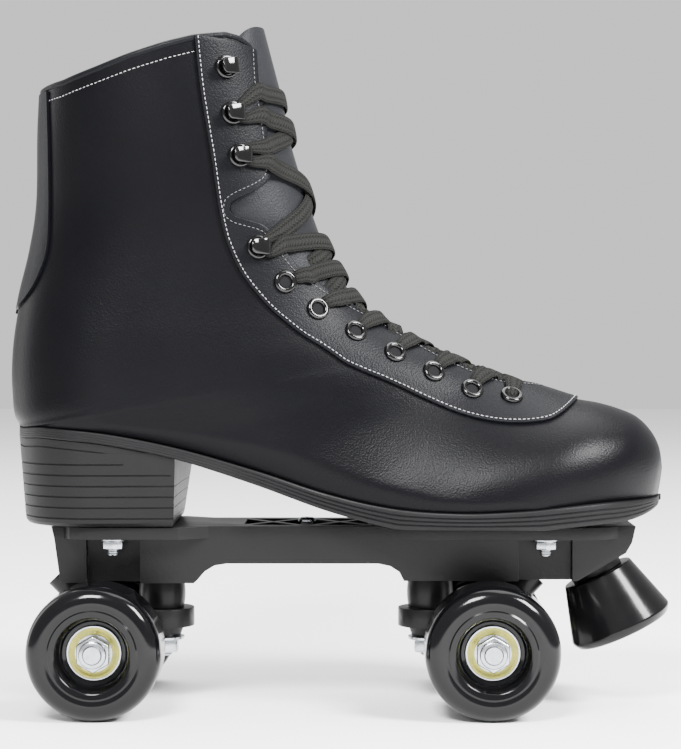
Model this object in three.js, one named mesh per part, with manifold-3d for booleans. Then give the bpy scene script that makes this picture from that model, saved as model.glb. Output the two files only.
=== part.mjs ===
// Quad roller skate: a laced high boot on a moulded plate with two sprung trucks and four wheels.
// Millimetres, +Z up, +X to the toe, +Y to the inner side of the foot. The origin is on the ground,
// under the middle of the skate.
import * as THREE from 'three';
import { mergeVertices } from 'three/addons/utils/BufferGeometryUtils.js';
import Module from 'manifold-3d';

const wasm = await Module();
wasm.setup();

// ---- Driving dimensions -------------------------------------------------------------------------
const gap = 0.3;                 // seat left between two pieces that touch
const runningGap = 0.35;         // shaft in a bearing

const wheelDiameter = 54;
const wheelWidth = 32;
const wheelInnerY = 25;          // inner face of a wheel, from the centre plane
const outerRecess = 8;           // depth from the outer face of a wheel to its bearing
const innerRecess = 4;
const wheelLip = 15.5;           // radius of the recess at the outer face
const bearingDiameter = 22;      // 608 bearing
const bearingWidth = 7;
const axleDiameter = 8;
const nutFlats = 13;
const axleNutHeight = 6.5;

const rearAxleX = -97.8;
const frontAxleX = 60.8;
const kingpinInset = 23.3;       // kingpin, from the axle towards the middle of the skate
const kingpinDiameter = 8;
const cushionRadius = 10;
const ringRadius = 13.4;         // hanger ring round the kingpin
const ringHeight = 7.6;
const ringRise = 8.6;            // middle of the ring, above the axle
const lowerCushionHeight = 4;
const kingpinNutHeight = 5;
const pivotReach = 15;           // pivot ball, from the axle away from the kingpin
const pivotRise = 21.5;          // pivot ball, above the axle
const pivotBallRadius = 3.9;
const cupWall = 1.8;

const deckRise = 48;             // top of the plate, above the axles
const flangeThickness = 5;
const plateRear = -118.4;
const plateFront = 121;
const trunkHalfWidth = 20.5;
const flangeHalfWidth = 28;
const bossRise = 24.5;           // foot of a kingpin boss, above the axles
const mountBoltDiameter = 4.8;
const rearMount = { x: -93, y: 20 };
const frontMount = { x: 84, y: 22 };
const mountNutFlats = 8;

const stopTopRadius = 15;
const stopFootRadius = 21.5;
const stopLength = 26.5;
const stopLean = 0.4345;         // radians, from straight down towards the toe
const stopX = 107.4;
const stopDrop = 21.1;           // top of the toe stop, under the deck

const bootLength = 272.4;        // the boot shapes below are drawn for these three sizes
const bootWidth = 94;
const bootHeight = 207;
const drawn = { length: 272.4, width: 94, height: 207 };
const wall = 2.7;                // upper, lining included
const skin = 1.2;                // facing and back strip, laid on the upper
const floorThickness = 3;
const soleThickness = 5;
const insoleThickness = 2.5;
const insoleEase = 1.6;          // between the insole's edge and the upper
const tongueThickness = 3;
const laceWidth = 5.4;
const laceThickness = 1.5;

const wheelSides = 24;
const axleZ = wheelDiameter / 2;
const deckZ = axleZ + deckRise;
const wheelY = wheelInnerY + wheelWidth / 2;
const outerBearingY = wheelWidth / 2 - outerRecess - bearingWidth / 2;
const innerBearingY = -wheelWidth / 2 + innerRecess + bearingWidth / 2;
const bearingFaceY = wheelY + wheelWidth / 2 - outerRecess;
const stopZ = deckZ - stopDrop;

// ---- Materials ----------------------------------------------------------------------------------
const finish = (color, roughness, metalness) => () => new THREE.MeshStandardMaterial({ color, roughness, metalness });
const leather = finish(0x1a1b1f, 0.5, 0);
const leatherTrim = finish(0x202126, 0.45, 0);
const lining = finish(0x17181a, 0.9, 0);
const soleFoam = finish(0x141416, 0.7, 0);
const lacing = finish(0x101012, 0.95, 0);
const blackMetal = finish(0x0b0b0c, 0.2, 0.6);
const nylon = finish(0x18191b, 0.6, 0);
const steel = finish(0xb9bcc0, 0.3, 1);
const zinc = finish(0xc8b05a, 0.35, 1);
const urethane = finish(0x08080a, 0.15, 0);
const rubber = finish(0x0c0c0e, 0.3, 0);

const skate = new THREE.Group();

// ---- Solids -------------------------------------------------------------------------------------
// A closed three.js geometry as a solid that can be joined and cut.
function solid(geometry) {
  const bare = geometry.index ? geometry.toNonIndexed() : geometry.clone();
  bare.deleteAttribute('normal');
  bare.deleteAttribute('uv');
  const merged = mergeVertices(bare, 1e-4);
  const vertProperties = new Float32Array(merged.attributes.position.array);
  const triVerts = new Uint32Array(merged.index.array);
  return new wasm.Manifold(new wasm.Mesh({ numProp: 3, vertProperties, triVerts }));
}

function geometryOf(body) {
  const mesh = body.getMesh();
  const geometry = new THREE.BufferGeometry();
  geometry.setAttribute('position', new THREE.BufferAttribute(new Float32Array(mesh.vertProperties), 3));
  geometry.setIndex(new THREE.BufferAttribute(new Uint32Array(mesh.triVerts), 1));
  return geometry;
}

const cut = (body, ...tools) => tools.reduce((left, tool) => left.subtract(tool), body);
const join = (...bodies) => bodies.reduce((left, right) => left.add(right));

function place(name, geometry, material, parent = skate) {
  const mesh = new THREE.Mesh(geometry.isBufferGeometry ? geometry : geometryOf(geometry), material());
  mesh.name = name;
  parent.add(mesh);
  return mesh;
}

// An outline in the side view, drawn as [x, z] points, pushed out to both sides of the centre plane.
function sideSlab(points, halfWidth) {
  const shape = new THREE.Shape(points.map(([x, z]) => new THREE.Vector2(x, z)));
  const slab = new THREE.ExtrudeGeometry(shape, { depth: 2 * halfWidth, bevelEnabled: false });
  return slab.rotateX(Math.PI / 2).translate(0, halfWidth, 0);
}

// An outline seen from above, drawn as [x, y] points, between two heights.
function planSlab(points, low, high) {
  const shape = new THREE.Shape(points.map(([x, y]) => new THREE.Vector2(x, y)));
  return new THREE.ExtrudeGeometry(shape, { depth: high - low, bevelEnabled: false }).translate(0, 0, low);
}

// A closed skin over rings of points, each end closed by a fan to its middle.
function loft(rings) {
  const count = rings[0].length;
  const points = rings.flat();
  const last = rings.length - 1;
  const middle = (ring) => ring.reduce((sum, p) => sum.add(p), new THREE.Vector3()).divideScalar(count);
  const [startHub, endHub] = [points.length, points.length + 1];
  points.push(middle(rings[0]), middle(rings[last]));
  const faces = [];
  for (let j = 0; j < count; j += 1) {
    const next = (j + 1) % count;
    for (let i = 0; i < last; i += 1) {
      const [a, b, c, d] = [i * count + j, i * count + next, (i + 1) * count + next, (i + 1) * count + j];
      faces.push([a, b, c], [a, c, d]);
    }
    faces.push([startHub, next, j], [endHub, last * count + j, last * count + next]);
  }
  const volume = faces.reduce((sum, [a, b, c]) => sum + points[a].dot(points[b].clone().cross(points[c])), 0);
  const outward = volume > 0 ? faces : faces.map(([a, b, c]) => [a, c, b]);
  return new THREE.BufferGeometry().setFromPoints(points).setIndex(outward.flat());
}

// A turned piece round Y, its profile drawn as [radius, y] in either direction.
function lathe(profile, sides) {
  const points = profile.map(([r, y]) => new THREE.Vector2(r, y));
  return new THREE.LatheGeometry(THREE.ShapeUtils.area(points) < 0 ? points.reverse() : points, sides);
}

// A turned piece that stands along Z, its profile drawn as [radius, height].
const turned = (profile, sides) => lathe(profile, sides).rotateX(Math.PI / 2);
const rod = (radius, low, high, sides = 16) => turned([[0, low], [radius, low], [radius, high], [0, high]], sides);
const ring = (inner, outer, low, high, sides = 24) =>
  turned([[inner, low], [outer, low], [outer, high], [inner, high], [inner, low]], sides);

function hexNut(flats, bore, height) {
  const hexagon = new THREE.Shape();
  for (let corner = 0; corner < 6; corner += 1) {
    const angle = (corner + 0.5) * Math.PI / 3;
    const radius = flats / 2 / Math.cos(Math.PI / 6);
    hexagon[corner ? 'lineTo' : 'moveTo'](radius * Math.cos(angle), radius * Math.sin(angle));
  }
  hexagon.closePath();
  hexagon.holes.push(new THREE.Path().absarc(0, 0, bore, 0, 2 * Math.PI, true));
  return new THREE.ExtrudeGeometry(hexagon, { depth: height, bevelEnabled: false, curveSegments: 8 });
}

// ---- Boot form ----------------------------------------------------------------------------------
// Each station joins a point of the back or sole line to a point of the instep line, so the stations
// fan round the heel: from the collar, down the leg, round the heel and forward to the toe.
// [back x, back z, front x, front z, half width, back rounding, front rounding, fullness]
// Heights are above the deck. The roundings are shares of the station's length.
const stations = [
  [-123.5, 189, -33.0, 210.5, 37.5, 0.50, 0.50, 2.2],
  [-125.0, 163, -21.5, 168.0, 36.0, 0.48, 0.52, 2.2],
  [-125.6, 133, -11.0, 133.0, 34.5, 0.46, 0.54, 2.3],
  [-128.6, 113, -3.5, 113.5, 34.0, 0.42, 0.58, 2.4],
  [-133.4, 93, 8.5, 93.0, 34.5, 0.36, 0.60, 2.4],
  [-136.5, 73, 18.5, 83.5, 35.5, 0.30, 0.60, 2.4],
  [-136.8, 55, 28.0, 78.0, 36.0, 0.25, 0.58, 2.4],
  [-133.9, 41.2, 37.4, 73.9, 36.0, 0.21, 0.58, 2.4],
  [-120.0, 40.5, 45.0, 70.4, 35.8, 0.22, 0.60, 2.3],
  [-95.0, 38.2, 53.0, 66.8, 35.4, 0.26, 0.66, 2.2],
  [-66.0, 32.4, 61.0, 63.6, 35.0, 0.30, 0.74, 2.1],
  [-35.0, 23.5, 69.5, 60.2, 35.5, 0.34, 0.82, 2.0],
  [-5.0, 14.0, 78.5, 57.4, 38.5, 0.36, 0.90, 2.0],
  [22.0, 8.5, 88.0, 54.4, 43.0, 0.38, 0.94, 2.0],
  [48.7, 7.0, 98.0, 51.3, 46.5, 0.40, 0.96, 2.1],
  [72.0, 7.9, 107.5, 49.6, 46.5, 0.42, 0.97, 2.2],
  [91.0, 9.5, 116.0, 47.2, 42.5, 0.45, 0.98, 2.3],
  [107.0, 10.6, 123.8, 43.8, 35.5, 0.5, 0.98, 2.4],
  [120.0, 10.8, 129.8, 38.0, 25.5, 0.5, 0.98, 2.4],
  [128.5, 11.0, 133.4, 31.2, 15.0, 0.5, 0.98, 2.4],
  [132.8, 11.3, 134.9, 23.0, 3.5, 0.5, 0.98, 2.4],
];
const heelStation = 7;
const legSteps = 10;
const footSteps = 20;
const halfSteps = 7;
// Half width of the upper where it meets the sole: [x, half width].
const soleWidths = [[-134, 33], [-100, 33], [-66, 31], [-30, 29.5], [10, 36], [45, 44], [72, 45.5], [134, 45.5]];
const heelRound = { from: -101, to: -134 };
const toeRound = { from: 70, to: 133.2 };
const inflare = 4;               // toe leans to the inner side by this much

// Where the form is cut into flat facets: stations down the leg, then along the sole.
const cuts = [];
for (let i = 0; i < legSteps; i += 1) cuts.push(heelStation * i / legSteps);
for (let i = 0; i <= footSteps; i += 1) cuts.push(heelStation + (stations.length - 1 - heelStation) * i / footSteps);

const sizeX = bootLength / drawn.length;
const sizeY = bootWidth / drawn.width;
const sizeZ = bootHeight / drawn.height;

function cubic(a, b, c, d, t) {
  return b + 0.5 * t * (c - a + t * (2 * a - 5 * b + 4 * c - d + t * (3 * (b - c) + d - a)));
}

function stationAt(t) {
  const i = Math.min(Math.floor(t), stations.length - 2);
  const near = (k) => stations[Math.max(0, Math.min(stations.length - 1, k))];
  return stations[0].map((_, c) => cubic(near(i - 1)[c], near(i)[c], near(i + 1)[c], near(i + 2)[c], t - i));
}

function alongTable(table, x) {
  const last = table.length - 1;
  let i = 0;
  while (i < last - 1 && x > table[i + 1][0]) i += 1;
  const t = Math.max(0, Math.min(1, (x - table[i][0]) / (table[i + 1][0] - table[i][0])));
  const value = (k) => table[Math.max(0, Math.min(last, k))][1];
  return cubic(value(i - 1), value(i), value(i + 1), value(i + 2), t);
}

const roundOff = (u, power = 2) => Math.sqrt(Math.max(0, 1 - (1 - Math.min(1, Math.max(0, u))) ** power));

// Half width of the sole line at x, in the drawn size.
function planHalf(x) {
  const heel = x < heelRound.from ? roundOff((x - heelRound.to) / (heelRound.from - heelRound.to)) : 1;
  const toe = x > toeRound.from ? roundOff((toeRound.to - x) / (toeRound.to - toeRound.from), 2.2) : 1;
  return alongTable(soleWidths, x) * heel * toe;
}

const centreLine = (x) => (x > 0 ? inflare * (x / toeRound.to) ** 2 : 0);

// The boot's half section at station t, s from the back or sole (0) to the instep (1).
function formPoint(t, s, inset = 0) {
  const [backX, backZ, frontX, frontZ, width, back, front, fullness] = stationAt(t);
  const length = Math.hypot(frontX - backX, frontZ - backZ);
  const dir = [(frontX - backX) / length, (frontZ - backZ) / length];
  const onSole = Math.max(0, Math.min(1, t - heelStation + 0.5));
  const floorInset = inset > 0 ? floorThickness * inset / wall : inset;
  const start = [backX + inset * dir[0] * (1 - onSole), backZ + inset * dir[1] * (1 - onSole) + floorInset * onSole];
  const end = [frontX - inset * dir[0], frontZ - inset * dir[1]];
  const base = t > heelStation ? planHalf(backX) : 0;
  const offset = back * (1 - Math.sqrt(Math.max(0, 1 - (Math.min(base, width * 0.995) / width) ** 2)));
  const half = Math.max(0.4, width - inset) * roundOff((s + offset) / back) * roundOff((1 - s) / front, fullness);
  const x = start[0] + s * (end[0] - start[0]);
  const z = start[1] + s * (end[1] - start[1]);
  return { x: x * sizeX, y: half * sizeY, z: z * sizeZ, lean: centreLine(x) * sizeY };
}

// The closed form of the boot, shrunk by inset (or grown, where inset is negative).
function bootForm(inset, lastStation = stations.length - 1) {
  const sections = [];
  for (const t of [...cuts.filter((station) => station < lastStation - 0.1), lastStation]) {
    const section = [];
    for (let j = 0; j <= 2 * halfSteps; j += 1) {
      const side = j <= halfSteps ? -1 : 1;
      const u = Math.abs(j - halfSteps) / halfSteps;
      const s = 0.5 + 0.5 * Math.cos(Math.PI * u);
      const point = formPoint(t, s, inset);
      const y = j === halfSteps ? 0 : side * point.y;
      section.push(new THREE.Vector3(point.x, y + point.lean, point.z));
    }
    if (t <= heelStation) section[2 * halfSteps].y = section[0].y + 0.02;
    sections.push(section);
  }
  return solid(loft(sections));
}

// The station and share whose point shows at x, z in the side view.
function formAt(x, z) {
  let low = 0;
  let high = stations.length - 1;
  for (let k = 0; k < 40; k += 1) {
    const t = (low + high) / 2;
    const a = formPoint(t, 0);
    const b = formPoint(t, 1);
    const side = (b.x - a.x) * (z - a.z) - (b.z - a.z) * (x - a.x);
    if (side < 0) low = t;
    else high = t;
  }
  const a = formPoint(low, 0);
  const b = formPoint(low, 1);
  const s = ((x - a.x) * (b.x - a.x) + (z - a.z) * (b.z - a.z)) / ((b.x - a.x) ** 2 + (b.z - a.z) ** 2);
  return { t: low, s };
}

function surface(t, s, side) {
  const at = (tt, ss) => {
    const p = formPoint(tt, Math.max(0, Math.min(1, ss)));
    return new THREE.Vector3(p.x, side * p.y + p.lean, p.z);
  };
  const step = 0.02;
  const across = at(t + step, s).sub(at(t - step, s));
  const along = at(t, s + 0.01).sub(at(t, s - 0.01));
  const normal = across.cross(along).normalize();
  if (normal.y * side < 0) normal.negate();
  return { point: at(t, s), normal };
}

// Point and normal on the front of station t, at the signed distance y from the boot's centre.
function instep(t, y) {
  let low = 0.5;
  let high = 1;
  for (let k = 0; k < 40; k += 1) {
    const s = (low + high) / 2;
    if (formPoint(t, s).y > Math.abs(y)) low = s;
    else high = s;
  }
  const spot = surface(t, low, y < 0 ? -1 : 1);
  if (Math.abs(y) < 2) spot.normal.y *= Math.abs(y) / 2;
  spot.normal.normalize();
  return spot;
}

// ---- Boot ---------------------------------------------------------------------------------------
const boot = new THREE.Group();
boot.position.z = deckZ + gap;
skate.add(boot);

const scaled = (points) => points.map(([x, z]) => [x * sizeX, z * sizeZ]);
const rim = scaled([[-150, 178], [-123.2, 178.9], [-112.3, 180.9], [-97.8, 185.5], [-84.6, 190.2],
  [-70.5, 194.7], [-58.6, 197.9], [-46.4, 199.8], [-41, 198.5], [-37.4, 194.5], [-20, 190]]);
const aboveRim = [...rim, [0, 240 * sizeZ], [-150 * sizeX, 240 * sizeZ]];
const facingEdge = scaled([[-37.4, 194.5], [-35, 181], [-32.5, 165], [-29.5, 150], [-27, 140], [-40, 132.5],
  [-41.5, 128.5], [-30, 122.5], [-24.5, 115], [-16, 103.5], [-4, 93.5], [9, 84.5], [24.5, 75.5],
  [40, 68.3], [56, 61.8], [68, 57.8], [76, 56.6], [81, 57.6]]);
const throat = [...facingEdge, [84 * sizeX, 62 * sizeZ], [40 * sizeX, 110 * sizeZ], [10 * sizeX, 215 * sizeZ],
  [-37.4 * sizeX, 215 * sizeZ]];
const facingOuter = scaled([[-58.6, 199], [-56.5, 177], [-53.9, 161], [-51.2, 144.7], [-49.1, 130.6],
  [-46.4, 118.4], [-43.4, 109.5], [-36.5, 98], [-28.4, 88.4], [-16.3, 78.5], [-9.5, 73.9], [5.9, 64.9],
  [21.4, 58.1], [37.5, 50.4], [51, 45.1], [64.3, 42.3], [75, 41.7], [85, 43.2], [92.5, 46.6], [97.5, 52]]);
const facingOutline = [...facingOuter, [100 * sizeX, 60 * sizeZ], [40 * sizeX, 110 * sizeZ],
  [10 * sizeX, 199 * sizeZ]];
const backSeam = scaled([[-119.4, 177.5], [-118.7, 144.3], [-118.7, 125.7], [-119.6, 111.9], [-123.8, 100.6],
  [-129.5, 92], [-137, 86]]);
const backOutline = [...backSeam, [-150 * sizeX, 86 * sizeZ], [-150 * sizeX, 177.5 * sizeZ]];
const slabHalf = 70 * sizeY;

const outerForm = bootForm(0);
const cavityEnd = 17.6;          // last station of the hollow, short of the toe
const cavity = bootForm(wall, cavityEnd);
const mounts = [-1, 1].flatMap((side) => [rearMount, frontMount].map(({ x, y }) => ({ x, y: side * y })));
const mountHoles = (radius, low, high) => mounts.map(({ x, y }) => solid(rod(radius, low, high, 12).translate(x, y, 0)));
const boltRadius = mountBoltDiameter / 2;
const headRadius = 4.5;
const headHeight = 2;

// Height of the sole line (the foot of the upper) at x, above the deck.
const soleLine = [];
for (const t of cuts.slice(legSteps)) {
  const point = formPoint(t, 0);
  soleLine.push([point.x, point.z]);
}
const soleHeight = (x) => {
  const k = Math.max(1, soleLine.findIndex(([px]) => px >= x));
  const [[x0, z0], [x1, z1]] = [soleLine[k - 1], soleLine[k]];
  return z0 + (z1 - z0) * (x - x0) / (x1 - x0);
};

function upper() {
  const holes = mountHoles(boltRadius + gap, -1, 60 * sizeZ);
  const shell = cut(outerForm, cavity, solid(sideSlab(aboveRim, slabHalf)), solid(sideSlab(throat, slabHalf)));
  return cut(shell, ...holes);
}

// A leather piece laid on the upper, cut to an outline in the side view.
function overlay(outline) {
  const sheet = cut(bootForm(-gap - skin), bootForm(-gap));
  return sheet.intersect(solid(sideSlab(outline, slabHalf)));
}

function eyestay() {
  return cut(overlay(facingOutline), solid(sideSlab(throat, slabHalf)), solid(sideSlab(aboveRim, slabHalf)));
}

function tongue() {
  const under = scaled([[-48, 206.5], [-46, 165], [-41, 140], [-50, 128], [-37, 112], [-28, 97], [-12, 83],
    [6, 73], [24, 64.5], [40, 57.5], [56, 50.8], [72, 46.5], [86, 48]]);
  const outline = [...under, [90 * sizeX, 60 * sizeZ], [40 * sizeX, 110 * sizeZ], [10 * sizeX, 206.5 * sizeZ]];
  const sheet = cut(bootForm(wall + gap, cavityEnd - 0.4), bootForm(wall + gap + tongueThickness, cavityEnd));
  return sheet.intersect(solid(sideSlab(outline, slabHalf)));
}

function insole() {
  const top = soleLine.slice(2, -3);
  const low = top.map(([x, z]) => [x, z + floorThickness * sizeZ + gap]);
  const high = top.map(([x, z]) => [x, z + floorThickness * sizeZ + gap + insoleThickness]).reverse();
  const pad = solid(sideSlab([...low, ...high], slabHalf)).intersect(bootForm(wall + insoleEase, cavityEnd - 0.4));
  return cut(pad, ...mountHoles(headRadius + gap, -1, 60 * sizeZ));
}

// The sole's outline from above, grown by margin.
function soleOutline(margin, from, to) {
  const points = [];
  const steps = 28;
  for (let i = 0; i <= steps; i += 1) {
    const x = from + (to - from) * (0.5 - 0.5 * Math.cos(Math.PI * i / steps));
    points.push([x, planHalf(x)]);
  }
  const edge = (side) => points.map(([x, half]) => {
    const grow = margin * (half > 1 ? 1 : 0.5);
    return [x * sizeX, side * (half + grow) * sizeY + centreLine(x) * sizeY];
  });
  return [...edge(-1), ...edge(1).reverse()];
}

const soleFoot = scaled([[133.4, 5.5], [126, 1.6], [112, 0.3], [70, 0], [28, 0]]).map(([x, z]) => [x, Math.max(0, z)]);
const soleUnderside = (x) => Math.max(0, soleHeight(x) - soleThickness - gap);

function outsole() {
  const top = soleLine.map(([x, z]) => [x, z - gap]);
  const arch = soleLine.filter(([x]) => x < 24 * sizeX).map(([x]) => [x, soleUnderside(x)]).reverse();
  const profile = [...top, ...soleFoot, ...arch];
  const outline = soleOutline(1.5, heelRound.to + 0.05, toeRound.to - 0.05);
  const slab = solid(sideSlab(profile, slabHalf)).intersect(solid(planSlab(outline, -1, 60 * sizeZ)));
  return cut(slab, ...mountHoles(boltRadius + gap, -1, 60 * sizeZ));
}

function heelBlock() {
  const breast = { top: -64, foot: -67.5 };
  const top = soleLine.filter(([x]) => x < breast.top * sizeX).map(([x]) => [x, soleUnderside(x) - gap]);
  const breastTop = breast.top * sizeX;
  const profile = [...top, [breastTop, soleUnderside(breastTop) - gap], [(breast.foot) * sizeX, 0],
    [-128 * sizeX, 0], [-131.5 * sizeX, 3]];
  const layer = (shrink, z) => soleOutline(1 - shrink, heelRound.to + 0.05 + shrink * 1.2, -55)
    .map(([x, y]) => new THREE.Vector3(x, y, z));
  const taper = solid(loft([layer(3, -1), layer(0, 45 * sizeZ)]));
  return cut(solid(sideSlab(profile, slabHalf)).intersect(taper), ...mountHoles(boltRadius + gap, -1, 60 * sizeZ));
}

place('boot_upper', upper(), leather, boot);
place('eyestay', eyestay(), leatherTrim, boot);
place('tongue', tongue(), leatherTrim, boot);
place('backstay', overlay(backOutline), leatherTrim, boot);
place('insole', insole(), lining, boot);
place('outsole', outsole(), soleFoam, boot);
place('heel_block', heelBlock(), soleFoam, boot);

// ---- Hooks and lace -----------------------------------------------------------------------------
const hookSpots = scaled([[-46.5, 185.8], [-44, 167.4], [-41, 150.3], [-33.5, 113.3]]);
const eyeletSpots = scaled([[-22.7, 99.3], [-9.6, 88.2], [5.9, 78.8], [22, 70.1], [37.8, 62.4], [53.6, 55], [70, 52.2]]);
const spool = [[0, 0], [4.6, 0], [2.2, 1.2], [2.2, 3.2], [4.2, 3.6], [3.4, 5], [0, 5]];

function hook(name, [x, z], side) {
  const { t, s } = formAt(x, z);
  const { point, normal } = surface(t, s, side);
  const mesh = place(name, turned(spool, 8), blackMetal, boot);
  mesh.position.copy(point).addScaledVector(normal, skin + 2 * gap + 0.1);
  mesh.quaternion.setFromUnitVectors(new THREE.Vector3(0, 0, 1), normal);
}

for (const [side, word] of [[-1, 'right'], [1, 'left']]) {
  hookSpots.forEach((spot, i) => hook(`lace_hook_${word}_${i + 1}`, spot, side));
}

// One lace, from the second hooks down to the toe and up again, crossing itself on each row.
function laceRoute() {
  const rows = [...hookSpots.slice(1), ...eyeletSpots].map(([x, z], i) => {
    const { t, s } = formAt(x, z);
    const clear = i < hookSpots.length - 1 ? 7.5 : 0;
    return { t, y: (formPoint(t, s).y - clear) };
  });
  const lift = skin + 2 * gap + laceThickness / 2 + 0.5;
  const route = [];
  const strand = (from, to, side, over) => {
    for (const share of [0, 0.25, 0.5, 0.75]) {
      const t = from.t + (to.t - from.t) * share;
      const y = side * (from.y - (from.y + to.y) * share);
      const { point, normal } = instep(t, y);
      const rise = over ? 2 * laceThickness * Math.sin(Math.PI * share) ** 2 : 0;
      route.push({ point: point.addScaledVector(normal, lift + rise), normal });
    }
  };
  let side = -1;
  for (let row = 0; row < rows.length - 1; row += 1) {
    strand(rows[row], rows[row + 1], side, false);
    side = -side;
  }
  const last = rows[rows.length - 1];
  strand(last, last, side, false);
  side = -side;
  for (let row = rows.length - 1; row > 0; row -= 1) {
    strand(rows[row], rows[row - 1], side, true);
    side = -side;
  }
  return route;
}

function ribbon(route, width, thickness) {
  const sections = route.map(({ point, normal }, i) => {
    const ahead = route[Math.min(route.length - 1, i + 1)].point;
    const behind = route[Math.max(0, i - 1)].point;
    const along = ahead.clone().sub(behind).normalize();
    const across = along.clone().cross(normal).normalize();
    const up = across.clone().cross(along).normalize();
    const section = [];
    for (let k = 0; k < 8; k += 1) {
      const angle = (k + 0.5) * Math.PI / 4;
      section.push(point.clone()
        .addScaledVector(across, Math.cos(angle) * width / 2 / Math.cos(Math.PI / 8))
        .addScaledVector(up, Math.sin(angle) * thickness / 2 / Math.sin(3 * Math.PI / 8)));
    }
    return section;
  });
  return loft(sections);
}

place('lace', ribbon(laceRoute(), laceWidth, laceThickness), lacing, boot);

// ---- Plate --------------------------------------------------------------------------------------
const rearKingpinX = rearAxleX + kingpinInset;
const frontKingpinX = frontAxleX - kingpinInset;
const cupOuter = pivotBallRadius + 0.5 + cupWall;
const bossRadius = 15.5;
const stopAxis = new THREE.Vector3(Math.sin(stopLean), 0, -Math.cos(stopLean));

// The truck's own frame: x towards the kingpin, z up from the axle.
const trucks = [
  { name: 'front', axleX: frontAxleX, inward: -1 },
  { name: 'rear', axleX: rearAxleX, inward: 1 },
];

function truckFrame({ axleX, inward }) {
  const frame = new THREE.Group();
  frame.position.set(axleX, 0, axleZ);
  if (inward < 0) frame.rotation.z = Math.PI;
  return frame;
}

// The pivot pin points from the axle up and away from the kingpin.
const pinDir = new THREE.Vector3(-pivotReach, 0, pivotRise - 6).normalize();
const pinTurn = new THREE.Quaternion().setFromUnitVectors(new THREE.Vector3(0, 0, 1), pinDir);
const ballCentre = new THREE.Vector3(-pivotReach, 0, pivotRise);

function alongPin(geometry) {
  return geometry.applyQuaternion(pinTurn).translate(ballCentre.x, ballCentre.y, ballCentre.z);
}

function inTruck(geometry, { axleX, inward }) {
  const turn = inward < 0 ? geometry.rotateZ(Math.PI) : geometry;
  return turn.translate(axleX, 0, axleZ);
}

function plateTrunk() {
  const z = (rise) => axleZ + rise;
  const flangeFoot = deckZ - flangeThickness;
  return sideSlab([
    [plateRear, deckZ], [plateRear + 1.2, flangeFoot], [-114.7, z(24.7)], [-91, z(24.7)],
    [-88, z(bossRise)], [-60, z(bossRise)], [-58.4, z(26)], [-55.5, z(29.4)], [-51.5, z(31.8)],
    [-46.5, z(32.6)], [15.5, z(32.6)], [20.5, z(31.6)], [24.2, z(29.2)], [26.1, z(bossRise + 1)],
    [52, z(bossRise + 1)], [54, z(25.4)], [97, z(25.4)], [106, z(30.6)], [117, z(37)], [119.5, z(41.4)],
    [plateFront, deckZ],
  ], trunkHalfWidth);
}

function flangeOutline() {
  const half = flangeHalfWidth;
  const waist = trunkHalfWidth;
  const side = (y) => [[plateRear + 8, y(half - 3)], [plateRear + 16, y(half)], [-66, y(half)], [-54, y(waist)],
    [22, y(waist)], [38, y(half)], [98, y(half + 1)], [110, y(half - 4)], [plateFront, y(half - 14)]];
  return [[plateRear, 12], [plateRear, -12], ...side((y) => -y), ...side((y) => y).reverse()];
}

// Pockets between the crossed ribs on top of the plate.
function deckPockets() {
  const [low, high] = [deckZ - 11, deckZ + 1];
  const pockets = [];
  for (const middle of [-28, 0]) {
    const [reach, side, rib] = [11.5, 14.5, 2.2];
    for (const sign of [-1, 1]) {
      pockets.push([[middle + sign * rib, 0], [middle + sign * reach, side - rib], [middle + sign * reach, rib - side]]);
      pockets.push([[middle, sign * rib], [middle - reach + rib, sign * side], [middle + reach - rib, sign * side]]);
    }
  }
  return pockets.map((points) => {
    const area = THREE.ShapeUtils.area(points.map(([x, y]) => new THREE.Vector2(x, y)));
    return solid(planSlab(area < 0 ? points.slice().reverse() : points, low, high));
  });
}

function boltPocket({ x, y }) {
  const outward = Math.sign(y);
  const box = new THREE.BoxGeometry(22, 24, 40);
  box.translate(x, outward * (14 + 12), deckZ - flangeThickness - 20);
  return solid(box);
}

function plate() {
  const flange = solid(planSlab(flangeOutline(), deckZ - flangeThickness, deckZ));
  const stopBoss = rod(11, -10, 12, 20);
  stopBoss.applyQuaternion(new THREE.Quaternion().setFromUnitVectors(new THREE.Vector3(0, 0, 1), stopAxis.clone().negate()));
  stopBoss.translate(stopX, 0, stopZ);
  const stopFace = new THREE.BoxGeometry(80, 80, 40);
  stopFace.translate(0, 0, -20 + gap);
  stopFace.applyQuaternion(new THREE.Quaternion().setFromUnitVectors(new THREE.Vector3(0, 0, 1), stopAxis.clone().negate()));
  stopFace.translate(stopX, 0, stopZ);
  const stopHole = rod(4.4, -4, 20, 12);
  stopHole.applyQuaternion(new THREE.Quaternion().setFromUnitVectors(new THREE.Vector3(0, 0, 1), stopAxis.clone().negate()));
  stopHole.translate(stopX, 0, stopZ);
  const trunk = cut(solid(plateTrunk()), ...mounts.map(boltPocket));
  let body = cut(join(trunk, flange, solid(stopBoss)), solid(stopFace), solid(stopHole));
  for (const truck of trucks) {
    const cupHole = solid(inTruck(alongPin(rod(cupOuter + gap, -12, 5 + cupWall + gap, 16)), truck));
    const kingpinHole = solid(inTruck(rod(kingpinDiameter / 2 + gap, 0, deckRise - 8, 16).translate(kingpinInset, 0, 0), truck));
    body = cut(body, cupHole, kingpinHole);
  }
  const screwHole = solid(rod(2.1, deckZ - 8, deckZ + 1, 10).translate(plateScrewX, 0, 0));
  const bolts = mountHoles(boltRadius + gap, axleZ, deckZ + 1);
  return cut(body, ...deckPockets(), ...bolts, screwHole);
}

const plateScrewX = -14;
place('plate', plate(), nylon);
place('plate_screw', turned([[0, deckZ - 7], [1.8, deckZ - 7], [1.8, deckZ + gap], [3.6, deckZ + gap],
  [3, deckZ + 1.8], [0, deckZ + 2.2]], 12).translate(plateScrewX, 0, 0), steel);

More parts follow.
